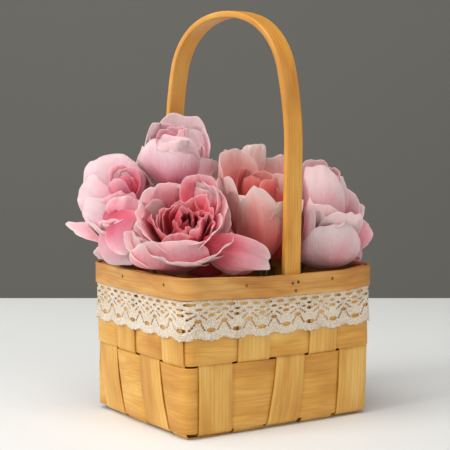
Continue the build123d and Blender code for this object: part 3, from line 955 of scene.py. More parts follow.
def petal_points(petal, seed):
    """place(u, v) in the flower's own frame, its axis along +Z and its base at the origin."""
    steps = 40
    line = [(petal.base, petal.lift)]
    for n in range(steps):
        t = (n + 0.5) / steps
        angle = math.radians(mix(petal.root, petal.tip, t ** petal.bend))
        radius, height = line[-1]
        piece = petal.length / steps
        line.append((radius + piece * math.sin(angle), height + piece * math.cos(angle)))

    def place(u, v):
        side = u * 2 - 1
        t = v * clamp(petal_outline(side, seed, petal.notch), 0.3, 1.15)
        at = clamp(t, 0, 1) * steps
        n = min(int(at), steps - 1)
        radius, height = (mix(line[n][i], line[n + 1][i], at - n) for i in (0, 1))
        angle = math.radians(mix(petal.root, petal.tip, clamp(t) ** petal.bend))
        half = petal.width / 2 * petal_spread(v)
        wrap = max(radius * petal.cup, petal.width * 0.32)
        swing = side * half / wrap
        across = wrap * math.sin(swing)
        dip = wrap * (1 - math.cos(swing))
        wave = petal_wave(side, v, seed, petal.width, petal.ruffle, petal.crease)
        curl = petal.roll * ease(0.72, 1.0, v) ** 1.5
        out = wave + curl
        radius += out * math.cos(angle) - dip
        height -= out * math.sin(angle)
        lean = math.radians(petal.lean)
        across, height = (
            across * math.cos(lean) + height * math.sin(lean),
            height * math.cos(lean) - across * math.sin(lean) * 0.6,
        )
        turn = math.radians(petal.turn)
        return Vector((
            radius * math.cos(turn) - across * math.sin(turn),
            radius * math.sin(turn) + across * math.cos(turn),
            height,
        ))

    return place


class Laid:
    """A listed petal: from base to tip, both as (across, toward, up) seen from the side the flowers face, with
    its outer side looking along facing. It bulges that way, and wrap is how far it bends round, in degrees."""

    def __init__(self, base, tip, width, facing, bulge=6.0, wrap=90.0, tone=(0.6, 0.1), ruffle=1.0, curl=0.0,
                 crease=None, notch=None, point=0.0):
        self.base, self.tip, self.width, self.facing = base, tip, width, facing
        self.bulge, self.wrap, self.tone, self.ruffle = bulge, wrap, tone, ruffle
        self.curl, self.crease, self.notch, self.point = curl, crease, notch, point


def laid_points(petal, seed):
    """place(u, v) of a listed petal, from the middle of its packed bloom."""
    base, tip = Vector(petal.base), Vector(petal.tip)
    chord = tip - base
    along = chord.normalized()
    facing = Vector(petal.facing)
    out = (facing - along * facing.dot(along)).normalized()
    side_way = along.cross(out)

    def place(u, v):
        side = u * 2 - 1
        t = v * petal_outline(side, seed, petal.notch, petal.point)
        half = petal.width / 2 * petal_spread(v)
        bend = math.radians(petal.wrap) / 2
        across = half * math.sin(bend * side) / bend
        dip = half * (1 - math.cos(bend * side)) / bend
        wave = petal_wave(side, v, seed, petal.width, petal.ruffle, petal.crease)
        height = petal.bulge * math.sin(math.pi * clamp(t)) + petal.curl * clamp(t) ** 4 - dip + wave
        return base + chord * t + side_way * across + out * height

    return place


def facing_frame():
    """The flowers are arranged to face one corner of the basket: across, toward and up there as columns."""
    return Matrix((
        (math.cos(AZIMUTH), -math.sin(AZIMUTH), 0), (-math.sin(AZIMUTH), -math.cos(AZIMUTH), 0), (0, 0, 1)
    ))


FLOWERS = ("left", "back", "front_left", "middle", "right", "back_right")
BLOOM_BOXES = {name: box_mm(f"{name}_bloom") for name in FLOWERS}
HANDLE_LINE = handle_centre()
PETAL_PROUD = 7.0  # a petal may stand this far outside its packed bloom's box
PETAL_PROUD_LEFT = 5.0  # the left flower has the back one's stem beside it
PETAL_THICK = 0.32
PETAL_GAP = 0.3  # half the least distance between two flowers
UPRIGHT_LIFTS = {"back": 42.0, "middle": 55.0}  # these two lift straight up under the handle, this far
RIM_REST = RIM_HIGH.z + 1.2  # petals over the rim lie on it from here up
RIM_DIP = 14  # and may hang this much lower inside the basket and outside it
HANDLE_REACH_SIDE = (8.0, 15.0)  # the handle holds petals back fully this near its middle, and not at all this far
BOX_SOFT, NEIGHBOUR_SOFT, HANDLE_SOFT, RIM_SOFT = 6.0, 4.0, 4.0, 3.0  # how early petals begin to give way


def squeeze(value, limit, soft):
    """value itself up to soft short of limit, then ever nearer to limit without reaching it."""
    start = limit - soft
    return value if value < start else start + soft * math.tanh((value - start) / soft)


def handle_reach(z):
    """How far the handle's middle line stands from the basket's middle at height z."""
    for (y_low, z_low, _), (y_high, z_high, _) in zip(HANDLE_LINE, HANDLE_LINE[1:]):
        if z_low <= z < z_high:
            return mix(y_low, y_high, (z - z_low) / (z_high - z_low))
    return HANDLE_FOOT


def flower_limit(name, other):
    """(direction to another flower, how far this one may reach that way), split between them by their sizes."""
    low, high = BLOOM_BOXES[name]
    middle, half = (low + high) / 2, (high - low) / 2
    other_low, other_high = BLOOM_BOXES[other]
    away = (other_low + other_high) / 2 - middle
    if name in UPRIGHT_LIFTS and other in UPRIGHT_LIFTS:
        away.z = 0  # they pass each other as they lift
    other_half = (other_high - other_low) / 2
    direction = away.normalized()
    own = math.sqrt(sum((half[k] * direction[k]) ** 2 for k in range(3)))
    theirs = math.sqrt(sum((other_half[k] * direction[k]) ** 2 for k in range(3)))
    return direction, away.length * own / (own + theirs) - PETAL_GAP


def settled(name, point, limits):
    """Where a petal's point comes to rest: near its packed bloom, over the rim, inside the handle and clear of the
    other flowers."""
    low, high = BLOOM_BOXES[name]
    middle, half = (low + high) / 2, (high - low) / 2
    point = point.copy()
    for k in range(3):
        off = point[k] - middle[k]
        proud = PETAL_PROUD_LEFT if name == "left" else PETAL_PROUD
        point[k] = middle[k] + math.copysign(squeeze(abs(off), half[k] + proud, BOX_SOFT), off)
    for _ in range(2):
        inset = min(RIM_HIGH.x - abs(point.x), RIM_HIGH.y - abs(point.y))
        floor = RIM_REST - RIM_DIP * ease(8, 12, inset) - RIM_DIP * (1 - ease(-7, -4, inset))
        point.z = -squeeze(-point.z, -floor, RIM_SOFT)
        side = 1 if point.y > 0 else -1
        for share in (0, 0.25, 0.5, 0.75, 1):
            height = point.z + UPRIGHT_LIFTS.get(name, 0) * share
            rise = ease(0, 1, clamp((height - BODY) / 166))
            reach = handle_reach(height)
            across = abs(point.x - (-side * reach * HANDLE_SKEW - 2.2 * rise))
            near = 1 - ease(*HANDLE_REACH_SIDE, across)
            allowed = reach - HANDLE_THICK / 2 - 1.2 - (1.6 * rise if side > 0 else 0)
            over = abs(point.y) - squeeze(abs(point.y), allowed, HANDLE_SOFT)
            point.y -= side * over * near
        for direction, limit in limits:
            past = (point - middle).dot(direction)
            point += direction * (squeeze(past, limit, NEIGHBOUR_SOFT) - past)
    return point


def make_bloom(name, base, axis, petals, laid, material, seed, columns=14, rows=14):
    """All petals of one flower as one piece. base and axis are (across, toward, up) as well. base and the laid
    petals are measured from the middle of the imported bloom."""
    joined = bmesh.new()
    joined.verts.layers.float.new("tone")
    facing = facing_frame()
    middle = facing.inverted() @ centre_mm(f"{name}_bloom")
    limits = [flower_limit(name, other) for other in FLOWERS if other != name]
    axis_turn = Vector((0, 0, 1)).rotation_difference(Vector(axis).normalized()).to_matrix()
    mesh = bpy.data.meshes.new("petal_work")
    for number, petal in enumerate(petals + laid):
        if isinstance(petal, Laid):
            place = laid_points(petal, seed + number * 1.37)
        else:
            inner = petal_points(petal, seed + number * 1.37)

            def place(u, v, inner=inner):
                return Vector(base) + axis_turn @ inner(u, v)

        bm = grid_mesh(
            columns, rows, lambda u, v: settled(name, facing @ (middle + place(u, v)), limits),
            (1000.0, 1000.0), (number * 3.0, 0.0),
        )
        layer = bm.verts.layers.float.new("tone")
        uv_layer = bm.loops.layers.uv.active
        deep, pale = petal.tone
        for vert in bm.verts:
            u, v = vert.link_loops[0][uv_layer].uv
            rim = ease(0.8, 1.0, max(v, abs((u - number * 3.0) * 2 - 1) * 0.97))
            vert[layer] = mix(deep, pale, v ** 1.1) - 0.16 * rim
        bm.to_mesh(mesh)
        bm.free()
        joined.from_mesh(mesh)
    bpy.data.meshes.remove(mesh)
    piece = make_piece(f"{name}_petals", joined, material, f"{name}_flower", [f"{name}_bloom"])
    thicken(piece, PETAL_THICK)
    subdivide(piece)


def ring_of(count, start, root, tip, length, width, rng, spread=6.0, wild=1.0, **more):
    """Evenly turned petals, each a little different; wild makes the differences larger."""
    made = []
    for n in range(count):
        vary = rng.uniform
        more_here = dict(more)
        if rng.random() < 0.35:
            more_here.setdefault("notch", (vary(-0.6, 0.6), vary(0.05, 0.14)))
        if rng.random() < 0.45:
            more_here.setdefault("crease", (vary(-0.4, 0.4), vary(0.5, 1.3)))
        made.append(Petal(
            start + 360 * n / count + vary(-spread, spread), root + wild * vary(-6, 6), tip + wild * vary(-8, 8),
            length * (1 + wild * vary(-0.1, 0.1)), width * (1 + wild * vary(-0.1, 0.1)), lean=wild * vary(-7, 7),
            **more_here,
        ))
    return made


def half_ring(count, start, end, root, tip, length, width, rng, **more):
    """Petals from one turn to another, for the side of a flower that looks away."""
    whole = ring_of(count, 0, root, tip, length, width, rng, 0.0, **more)
    for n, petal in enumerate(whole):
        petal.turn = mix(start, end, (n + 0.5) / count) + rng.uniform(-6, 6)
    return whole


ROSE = ((255, 216, 217), (250, 162, 172), (238, 94, 110), (196, 26, 44))
CORAL = ((255, 214, 208), (250, 160, 152), (240, 104, 98), (214, 50, 40))
BLUSH = ((254, 208, 214), (251, 166, 180), (240, 106, 130), (210, 44, 72))

LAID_PETALS = {
    "back": [
        Laid((-6.8, 15.1, -29.0), (-7.3, 21.1, 12.0), 54, (0, 1, 0.2), bulge=9, wrap=130, tone=(0.95, 0.02),
             curl=-7, crease=(0.02, 1.8), ruffle=0.8),
        Laid((7.2, 4.1, -33.0), (11.2, -2.9, 19.5), 36, (0.75, 0.5, 0.2), bulge=9, wrap=110, tone=(0.6,
             0.0), ruffle=0.8),
        Laid((11.2, 10.1, -35.0), (18.7, 8.1, 1.0), 30, (0.7, 0.7, 0.1), bulge=6, wrap=90, tone=(0.6, 0.1),
             ruffle=1.0),
        Laid((-18.3, 6.1, -27.5), (-22.3, 0.1, 8.5), 32, (-0.75, 0.5, 0.2), bulge=8, wrap=110, tone=(0.6,
             0.0), ruffle=0.8),
        Laid((-1.3, -5.9, -28.5), (2.2, -9.9, 29.5), 50, (0.05, -1, 0.2), bulge=7, wrap=130, tone=(0.7,
             0.0), curl=3, ruffle=0.9),
        Laid((-9.3, -3.9, -24.5), (-13.3, -7.9, 23.5), 36, (-0.6, -0.8, 0.2), bulge=8, wrap=120, tone=(0.5,
             0.05), ruffle=0.8),
        Laid((-4.8, 8.1, -20.5), (-8.8, 10.1, 19.0), 26, (-0.3, -1, 0.3), bulge=5, wrap=170, tone=(0.95,
             0.62), ruffle=1.2),
        Laid((-2.3, 3.1, -21.0), (-2.3, 2.1, 20.5), 28, (0.1, -1, 0.3), bulge=5, wrap=170, tone=(0.9,
             0.5), ruffle=1.2),
        Laid((1.7, 5.1, -21.0), (4.7, 4.1, 19.5), 24, (0.7, 0.6, 0.3), bulge=6, wrap=150, tone=(0.8,
             0.25), ruffle=1.2),
        Laid((-3.3, 11.1, -21.5), (-5.8, 14.1, 17.0), 18, (0.2, 1, 0.2), bulge=3, wrap=160, tone=(1, 0.75),
             ruffle=1.2),
    ],
    "left": [
        Laid((1.5, -10.6, -2.0), (-16.0, -12.6, 33.5), 50, (-0.45, 0.55, 0.6), bulge=6, wrap=85, tone=(0.62,
             0.0), ruffle=1.1, curl=-3),
        Laid((4.0, -14.6, -1.0), (-3.5, -19.6, 34.5), 42, (-0.1, -1, 0.3), bulge=6, wrap=90, tone=(0.6,
             0.0), ruffle=1.1),
        Laid((6.5, -16.6, -1.0), (7.5, -18.6, 29.5), 34, (0.5, -0.8, 0.3), bulge=6, wrap=110, tone=(0.5,
             0.0), ruffle=0.9),
        Laid((3.5, -2.6, -3.0), (-27.0, -6.6, 15.5), 36, (-0.5, 0.5, 0.7), bulge=4, wrap=60, tone=(0.6, 0.0),
             ruffle=1.4),
        Laid((8.0, 7.4, -8.5), (-26.0, 3.4, 1.5), 27, (-0.2, 0.75, 0.6), bulge=4, wrap=55, tone=(0.55,
             0.0), ruffle=1.1, curl=2),
        Laid((-0.5, -0.6, -21.0), (-30.0, -6.6, -15.0), 23, (-0.1, 0.5, 0.9), bulge=4, wrap=45, tone=(0.6,
             0.1), ruffle=1.8, curl=3, point=0.3),
        Laid((1.0, 15.4, -1.5), (-5.5, 17.4, -18.0), 36, (-0.4, 0.85, 0.4), bulge=2, wrap=30, tone=(0.95,
             0.3), ruffle=2.4),
        Laid((-10.0, 13.4, -8.0), (8.5, 27.4, -34.5), 32, (-0.45, 0.85, 0.25), bulge=4, wrap=50, tone=(0.6,
             0.0), ruffle=1.5, crease=(0.2, 1.2)),
        Laid((-4.0, 19.4, -2.5), (12.0, 35.4, -24.0), 30, (-0.35, 0.9, 0.3), bulge=3, wrap=40, tone=(0.9,
             0.25), ruffle=2.2),
        Laid((-0.0, -12.6, -29.0), (-17.0, -20.6, -28.5), 30, (-0.6, 0.2, 0.6), bulge=4, wrap=50, tone=(0.4,
             0.1), ruffle=1.0),
        Laid((3.5, -0.6, 2.0), (-7.0, -0.6, 18.5), 20, (-0.7, 0.3, 0.6), bulge=4, wrap=110, tone=(0.9,
             0.45), ruffle=1.8),
        Laid((3.5, -2.6, 5.0), (-3.5, -6.6, 27.5), 20, (-0.3, -0.8, 0.5), bulge=4, wrap=120, tone=(0.9,
             0.5), ruffle=1.8),
        Laid((5.0, -0.6, 5.5), (4.5, -4.6, 26.5), 20, (0.3, -0.8, 0.5), bulge=4, wrap=120, tone=(0.95,
             0.55), ruffle=1.8),
        Laid((-0.0, 5.4, -5.0), (-6.5, 5.4, 9.5), 28, (-0.3, 0.8, 0.6), bulge=1, wrap=35, tone=(0.8,
             0.3), ruffle=3.0),
        Laid((4.5, 15.4, -10.5), (9.5, 13.4, 7.5), 36, (0.0, 0.9, 0.4), bulge=1, wrap=35, tone=(0.85,
             0.25), ruffle=2.8),
        Laid((5.0, 1.4, 5.5), (1.0, 1.4, 21.5), 14, (0, 0.6, 0.6), bulge=3, wrap=150, tone=(1, 0.8),
             ruffle=2.2),
        Laid((6.0, -0.6, 5.5), (6.0, -0.6, 20.0), 14, (0.5, 0.4, 0.6), bulge=3, wrap=150, tone=(1,
             0.75), ruffle=2.2),
    ],
    "front_left": [
        Laid((-9.5, 4.3, -34.3), (-15.5, 22.3, -10.3), 56, (-0.15, 0.9, -0.2), bulge=7, wrap=80, tone=(0.75,
             0.22), ruffle=0.9, crease=(-0.2, 1.8), curl=1),
        Laid((8.0, 12.3, -13.3), (54.0, 8.3, -28.8), 28, (0.15, 0.95, -0.05), bulge=6, wrap=80, tone=(0.85,
             0.2), ruffle=2.4, crease=(0.2, 2.0), notch=(0.3, 0.1)),
        # these two low petals behind the front one get deep tones as painted shade for the dark gap between this
        # flower and the middle one
        Laid((20.5, -7.7, -35.8), (29.5, 4.3, -14.3), 36, (0.1, 0.9, 0.1), bulge=4, wrap=60, tone=(0.95, 0.6),
             ruffle=1.2),
        Laid((6.5, -3.7, -39.3), (10.5, 6.3, -15.3), 30, (0, 0.95, 0.1), bulge=4, wrap=60, tone=(1.05,
             0.85), ruffle=1.0),
        Laid((-25.5, -7.7, -26.8), (-32.0, 6.3, -8.8), 34, (-0.7, 0.7, 0.1), bulge=6, wrap=80, tone=(0.6,
             0.2), ruffle=0.9),
        Laid((5.0, -13.7, 3.2), (6.5, -15.7, 28.7), 28, (0.1, -0.8, 0.5), bulge=5, wrap=90, tone=(0.85,
             0.42), ruffle=2.2),
        Laid((14.0, -9.7, -1.8), (14.0, -11.7, 21.2), 30, (0.7, -0.3, 0.5), bulge=5, wrap=100, tone=(0.8,
             0.3), ruffle=1.6),
    ],
    "middle": [
        Laid((-4.3, 22.5, -39.5), (-5.8, 37.5, 6.0), 48, (0, 0.97, 0.1), bulge=8, wrap=115, tone=(0.98, 0.2),
             ruffle=0.7, point=0.14),
        Laid((-13.3, 10.5, -21.5), (-18.8, 4.5, 34.0), 48, (-0.6, -0.75, 0.1), bulge=8, wrap=120, tone=(1.05,
             0.3), ruffle=1.1, curl=2),
        Laid((-15.8, 16.5, -18.5), (-27.3, 20.5, 18.0), 26, (-0.9, 0.4, 0.1), bulge=7, wrap=90, tone=(0.7, 0.0),
             ruffle=0.8),
        Laid((-8.8, -13.5, 7.0), (-0.8, -17.5, 42.5), 19, (0.3, 0.75, 0.3), bulge=2, wrap=55, tone=(0.55, 0.0),
             ruffle=1.5, notch=(0.5, 0.14)),
        Laid((-5.8, -21.5, -0.5), (-9.8, -25.5, 33.5), 34, (-0.3, -0.8, 0.2), bulge=6, wrap=110, tone=(0.5,
             0.05), ruffle=1.2),
        Laid((9.7, -13.5, -3.0), (8.7, -19.5, 29.5), 36, (0.25, -0.85, 0.4), bulge=7, wrap=110, tone=(0.7,
             0.3), ruffle=1.4),
        Laid((16.2, -3.5, -9.0), (19.7, -3.5, 19.5), 30, (0.85, 0.1, 0.3), bulge=7, wrap=110, tone=(0.7, 0.3),
             ruffle=1.4),
        Laid((15.7, 8.5, -42.5), (19.2, 12.5, -5.5), 32, (0.4, 0.9, 0), bulge=5, wrap=80, tone=(1.05, 0.6),
             ruffle=1.2),
        Laid((-14.3, -23.5, -0.5), (-25.8, -29.5, 32.5), 30, (-0.5, -0.6, 0.3), bulge=5, wrap=90, tone=(0.5,
             0.0), ruffle=1.0),
        Laid((-9.3, 0.5, -14.5), (-10.8, -1.5, 22.5), 24, (-0.7, -0.5, 0.3), bulge=5, wrap=120, tone=(1, 0.72),
             ruffle=1.2),
        Laid((-3.8, 4.5, -13.0), (-6.3, 6.5, 17.5), 22, (-0.3, 0.7, 0.4), bulge=4, wrap=150, tone=(1, 0.68),
             ruffle=1.4),
        Laid((1.2, 2.5, -13.0), (1.7, 0.5, 20.0), 24, (0.2, -0.8, 0.4), bulge=4, wrap=140, tone=(0.95,
             0.6), ruffle=1.4),
        Laid((5.2, 6.5, -14.0), (7.7, 8.5, 16.5), 22, (0.5, 0.6, 0.4), bulge=4, wrap=140, tone=(1, 0.66),
             ruffle=1.4),
        Laid((1.2, 4.5, -15.5), (1.2, 6.5, 11.0), 20, (0.1, 0.9, 0.3), bulge=3, wrap=150, tone=(1, 0.7),
             ruffle=1.8),
        Laid((6.7, 6.5, -15.5), (10.2, 8.5, 9.5), 20, (0.3, 0.9, 0.2), bulge=4, wrap=120, tone=(1, 0.62),
             ruffle=1.8),
    ],
    "right": [
        Laid((-4.5, 17.2, -17.8), (-5.0, 13.2, 30.7), 38, (0.12, 0.88, 0.3), bulge=7, wrap=90, tone=(0.5,
             -0.05), ruffle=1.0),
        Laid((1.0, 17.2, -40.3), (1.0, 29.2, -6.8), 50, (0.1, 0.95, 0.1), bulge=8, wrap=105, tone=(0.42,
             0.05), ruffle=1.2, crease=(0.3, 1.4)),
        Laid((5.5, 5.2, -25.8), (28.5, -0.8, -7.8), 27, (0.25, 0.6, 0.55), bulge=5, wrap=70, tone=(0.7,
             0.35), ruffle=0.9),
        Laid((10.5, 9.2, -16.3), (16.0, 9.2, -8.3), 14, (0.3, 0.8, 0.4), bulge=2, wrap=60, tone=(0.2, -0.1),
             ruffle=1.2),
        Laid((-6.0, 3.2, 10.7), (-8.0, -0.8, 34.7), 26, (0.2, -0.7, 0.6), bulge=4, wrap=90, tone=(0.6, 0.3),
             ruffle=2.2),
        Laid((-2.0, 1.2, 10.7), (5.0, -0.8, 28.7), 22, (0.5, -0.5, 0.6), bulge=4, wrap=90, tone=(0.6,
             0.35), ruffle=2.4),
        Laid((-15.5, 27.2, -23.3), (-12.5, 25.2, 9.7), 13, (-0.2, 0.95, 0.1), bulge=3, wrap=60, tone=(0.45,
             0.1), ruffle=0.9),
        Laid((6.0, 3.2, -9.3), (10.5, -2.8, 23.2), 32, (0.8, 0.2, 0.3), bulge=7, wrap=100, tone=(0.5,
             0.05), ruffle=1.0),
        Laid((13.5, -0.8, -34.8), (24.5, -6.8, -20.3), 34, (0.8, 0.3, 0.1), bulge=6, wrap=90, tone=(0.6, 0.3),
             ruffle=1.0),
    ],
    "back_right": [
    ],
}


def make_flowers():
    silk = {
        key: petal_material(f"petal_silk_{key}", *(srgb(*colour) for colour in colours))
        for key, colours in (("rose", ROSE), ("coral", CORAL), ("blush", BLUSH))
    }
    rng = random.Random(7)
    fill = half_ring(6, 40, 200, 70, 10, 36, 36, rng, tone=(0.5, 0.05), base=4.0)
    fill += half_ring(5, 190, 340, 84, 50, 30, 32, rng, tone=(0.6, 0.2), base=4.0)
    fill += ring_of(6, 0, 20, -10, 26, 22, rng, 12, tone=(1.0, 0.6), ruffle=2.0, base=2.0)
    fill += half_ring(6, 185, 350, 66, 6, 38, 38, rng, tone=(0.7, 0.1), base=4.0)
    fill += half_ring(5, 215, 350, 88, 96, 32, 38, rng, tone=(0.8, 0.15), base=4.0, lift=-3)
    make_bloom("left", (8.0, -6.6, -25.0), (-0.2, 0.3, 0.92), fill, LAID_PETALS["left"], silk["blush"], 3.0)

    rng = random.Random(11)
    fill = half_ring(4, 60, 200, 50, -12, 44, 44, rng, tone=(0.7, 0.05), base=4.0)
    fill += half_ring(3, -50, 50, 50, -8, 40, 44, rng, tone=(0.7, 0.1), base=4.0)
    fill += ring_of(5, 30, 16, -12, 40, 26, rng, 12, tone=(1.0, 0.5), ruffle=1.6, base=2.0)
    fill += half_ring(4, 195, 345, 50, -8, 46, 48, rng, tone=(0.7, 0.1), base=4.0)
    fill += half_ring(6, 180, 370, 80, 30, 38, 38, rng, tone=(0.8, 0.15), base=4.0)
    fill += half_ring(7, 170, 380, 84, 70, 36, 40, rng, tone=(0.9, 0.2), base=4.0, lift=-20)
    make_bloom("back", (-2.8, 0.1, -26.0), (0.0, 0.12, 1.0), fill, LAID_PETALS["back"], silk["blush"], 17.0)

    rng = random.Random(5)
    fill = ring_of(7, 10, 14, -24, 22, 21, rng, 34, 2.4, tone=(1.1, 0.9), ruffle=3.4, base=1.0)
    fill += ring_of(9, 40, 34, -10, 30, 24, rng, 30, 2.2, tone=(1.05, 0.8), ruffle=3.0, base=2.0)
    fill += ring_of(9, 15, 52, 0, 36, 27, rng, 20, 1.6, tone=(1.05, 0.62), ruffle=2.4, base=3.0)
    fill += ring_of(7, 30, 68, 2, 42, 40, rng, 8, tone=(1.0, 0.34), ruffle=1.3, base=4.0, roll=3.5)
    fill += half_ring(5, 20, 170, 84, 30, 42, 38, rng, tone=(0.6, 0.1), base=4.0)
    fill += half_ring(6, 190, 350, 72, 12, 42, 40, rng, tone=(0.55, 0.08), base=4.0)
    make_bloom(
        "front_left", (-4.0, -15.7, -19.8), (0.0, 0.61, 0.79), fill, LAID_PETALS["front_left"], silk["rose"], 29.0
    )

    rng = random.Random(23)
    fill = ring_of(7, 10, 20, -18, 33, 25, rng, 30, 2.0, tone=(1.0, 0.62), ruffle=2.6, base=1.0)
    fill += half_ring(6, 30, 200, 66, 4, 46, 40, rng, tone=(0.6, 0.08), base=4.0)
    fill += half_ring(5, 200, 340, 80, 46, 30, 32, rng, tone=(0.7, 0.35), base=4.0)
    fill += half_ring(4, 190, 350, 58, 2, 48, 50, rng, tone=(0.8, 0.1), base=4.0)
    fill += half_ring(7, 180, 360, 86, 84, 44, 42, rng, tone=(0.85, 0.15), base=4.0, lift=-4)
    make_bloom("middle", (0.7, -1.5, -28.0), (0.03, 0.2, 0.97), fill, LAID_PETALS["middle"], silk["coral"], 41.0)

    rng = random.Random(31)
    fill = ring_of(7, 10, 18, -20, 30, 24, rng, 14, tone=(1.0, 0.5), ruffle=2.0, base=1.0)
    fill += half_ring(6, 30, 200, 66, 8, 42, 38, rng, tone=(0.6, 0.08), base=4.0)
    fill += half_ring(6, 190, 360, 84, 50, 28, 32, rng, tone=(0.7, 0.3), base=4.0)
    fill += half_ring(4, 190, 350, 60, 4, 44, 48, rng, tone=(0.7, 0.08), base=4.0)
    fill += half_ring(5, 190, 320, 86, 86, 33, 40, rng, tone=(0.8, 0.15), base=4.0, lift=-2)
    make_bloom("right", (-2.5, -0.8, -26.8), (0.15, 0.15, 0.95), fill, LAID_PETALS["right"], silk["rose"], 53.0)

    rng = random.Random(37)
    fill = ring_of(8, 10, 12, -24, 24, 21, rng, 22, tone=(1.0, 0.72), ruffle=2.8, base=1.0)
    fill += ring_of(8, 40, 34, -12, 33, 27, rng, 16, tone=(0.98, 0.5), ruffle=2.0, base=2.0)
    fill += ring_of(7, 5, 54, 0, 39, 37, rng, 8, tone=(0.9, 0.22), ruffle=1.3, base=3.0)
    fill += ring_of(7, 33, 76, 18, 44, 42, rng, 8, tone=(0.62, 0.06), ruffle=1.0, base=4.0, roll=2.0)
    fill += ring_of(8, 10, 88, 92, 42, 42, rng, 8, tone=(0.7, 0.12), ruffle=1.3, base=4.0, lift=-3)
    make_bloom(
        "back_right", (-1.2, 4.9, -29.0), (0.1, -0.3, 0.92), fill, LAID_PETALS["back_right"], silk["blush"], 61.0
    )


# --- What stands below the petals -------------------------------------------------------------------------------
def speckled(name, dark, light, scale, roughness, bump_depth):
    material = bpy.data.materials.new(name)
    material.use_nodes = True
    tree = material.node_tree
    shader = tree.nodes["Principled BSDF"]
    position = add(tree, "ShaderNodeTexCoord").outputs["Object"]
    grain_noise = noise_at(tree, position, scale, 4.0, 0.65)
    tree.links.new(ramp(tree, grain_noise, [(0.35, dark), (0.68, light)]), shader.inputs["Base Color"])
    bump = add(tree, "ShaderNodeBump", {"Height": grain_noise, "Strength": 0.6, "Distance": bump_depth})
    tree.links.new(bump.outputs["Normal"], shader.inputs["Normal"])
    tree.links.new(math_node(tree, "MULTIPLY_ADD", grain_noise, 0.2, roughness - 0.1), shader.inputs["Roughness"])
    return material


def dress_frame_nodes():
    foam = speckled("florist_foam", srgb(46, 66, 42), srgb(88, 112, 74), 900.0, 0.95, 0.0006)
    green = speckled("calyx_green", srgb(78, 104, 52), srgb(128, 150, 84), 260.0, 0.6, 0.0003)
    wire = speckled("stem_green", srgb(66, 92, 48), srgb(104, 128, 70), 400.0, 0.5, 0.0002)
    for name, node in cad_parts.items():
        material = foam if name == "foam_block" else green if name.endswith("calyx") else wire
        if name == "foam_block" or name.endswith(("calyx", "stem")):
            for slot_number in range(max(1, len(node.material_slots))):
                node.material_slots[slot_number].material = material


# --- Camera, floor, light ---------------------------------------------------------------------------------------

TARGET_SIDE, TARGET_HEIGHT = -4.61, 124.86
IMAGE = 450


def set_camera():
    back = Vector((-math.sin(AZIMUTH) * math.cos(ELEVATION), -math.cos(AZIMUTH) * math.cos(ELEVATION),
                   math.sin(ELEVATION)))
    right = Vector((math.cos(AZIMUTH), -math.sin(AZIMUTH), 0))
    target = right * TARGET_SIDE + Vector((0, 0, TARGET_HEIGHT))
    data = bpy.data.cameras.new("camera")
    data.sensor_width = 36
    data.lens = 36 * FOCAL / IMAGE
    data.clip_end = 50
    camera = bpy.data.objects.new("camera", data)
    camera.location = (target + back * DISTANCE) * MM
    camera.rotation_euler = (-back).to_track_quat("-Z", "Y").to_euler()
    bpy.context.scene.collection.objects.link(camera)
    bpy.context.scene.camera = camera
    return back, right


def plain_material(name, colour, roughness):
    material = bpy.data.materials.new(name)
    material.use_nodes = True
    tree = material.node_tree
    shader = tree.nodes["Principled BSDF"]
    position = add(tree, "ShaderNodeTexCoord").outputs["Object"]
    faint = noise_at(tree, position, 3.0, 2.0)
    near = tuple(channel * 0.97 for channel in colour[:3]) + (1.0,)
    tree.links.new(blend(tree, faint, near, colour), shader.inputs["Base Color"])
    shader.inputs["Roughness"].default_value = roughness
    shader.inputs["Specular IOR Level"].default_value = 0.3
    return material


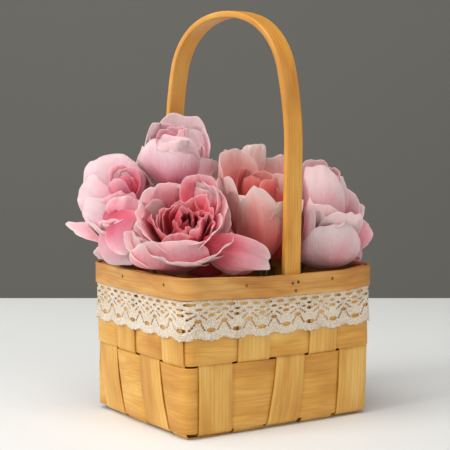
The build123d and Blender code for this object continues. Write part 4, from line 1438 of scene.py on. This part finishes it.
def make_stage(back, right):
    """A pale table whose far edge stands behind the basket, and a grey wall behind it."""
    away = Vector((-back.x, -back.y, 0)).normalized()

    def slab(name, corners, material):
        bm = bmesh.new()
        bmesh.ops.create_grid(bm, x_segments=1, y_segments=1, size=0.5)
        for vert in bm.verts:
            u, v = vert.co.x + 0.5, vert.co.y + 0.5
            low = corners[0].lerp(corners[1], u)
            high = corners[3].lerp(corners[2], u)
            vert.co = low.lerp(high, v) * MM
        mesh = bpy.data.meshes.new(name)
        bm.to_mesh(mesh)
        bm.free()
        mesh.materials.append(material)
        piece = bpy.data.objects.new(name, mesh)
        bpy.context.scene.collection.objects.link(piece)

    table_edge = 521.0
    corners = [right * -3000 + away * -3000, right * 3000 + away * -3000, right * 3000 + away * table_edge,
               right * -3000 + away * table_edge]
    slab("table", corners, plain_material("table_white", srgb(234, 235, 233), 0.6))
    wall = [right * -4000 + away * 1900 + Vector((0, 0, -1500)), right * 4000 + away * 1900 + Vector((0, 0, -1500)),
            right * 4000 + away * 1900 + Vector((0, 0, 3000)), right * -4000 + away * 1900 + Vector((0, 0, 3000))]
    slab("backdrop", wall, plain_material("backdrop_grey", srgb(128, 126, 120), 0.9))


def add_light(name, place, target, size, power, colour):
    data = bpy.data.lights.new(name, "AREA")
    data.shape = "RECTANGLE"
    data.size, data.size_y = size
    data.energy = power
    data.color = colour
    light = bpy.data.objects.new(name, data)
    light.location = place
    light.rotation_euler = (Vector(target) - Vector(place)).to_track_quat("-Z", "Y").to_euler()
    bpy.context.scene.collection.objects.link(light)


def set_lights(back, right):
    toward = Vector((back.x, back.y, 0)).normalized()
    middle = Vector((0, 0, 0.12))
    add_light("key_softbox", toward * 0.75 - right * 1.25 + Vector((0, 0, 0.95)), middle, (0.9, 0.9), 15,
              (1.0, 0.985, 0.96))
    add_light("fill_softbox", toward * 1.5 + right * 1.3 + Vector((0, 0, 0.9)), middle, (1.4, 1.2), 10,
              (1.0, 0.98, 0.95))
    add_light("top_softbox", Vector((0, 0, 1.5)) + toward * 0.45 - right * 0.2, middle, (1.3, 1.3), 14.5,
              (1.0, 1.0, 1.0))
    add_light("side_softbox", -right * 1.5 - toward * 0.75 + Vector((0, 0, 0.8)), middle, (0.9, 1.2), 6,
              (1.0, 1.0, 0.98))
    world = bpy.data.worlds.new("studio")
    world.use_nodes = True
    world.node_tree.nodes["Background"].inputs["Color"].default_value = (0.96, 0.95, 0.94, 1)
    world.node_tree.nodes["Background"].inputs["Strength"].default_value = 0.30
    bpy.context.scene.world = world
    bpy.context.scene.view_settings.view_transform = "Standard"


make_staves()
make_weavers()
make_rims()
make_nails()
make_handle()
make_lace()
make_flowers()
dress_frame_nodes()
toward_camera, camera_right = set_camera()
make_stage(toward_camera, camera_right)
set_lights(toward_camera, camera_right)
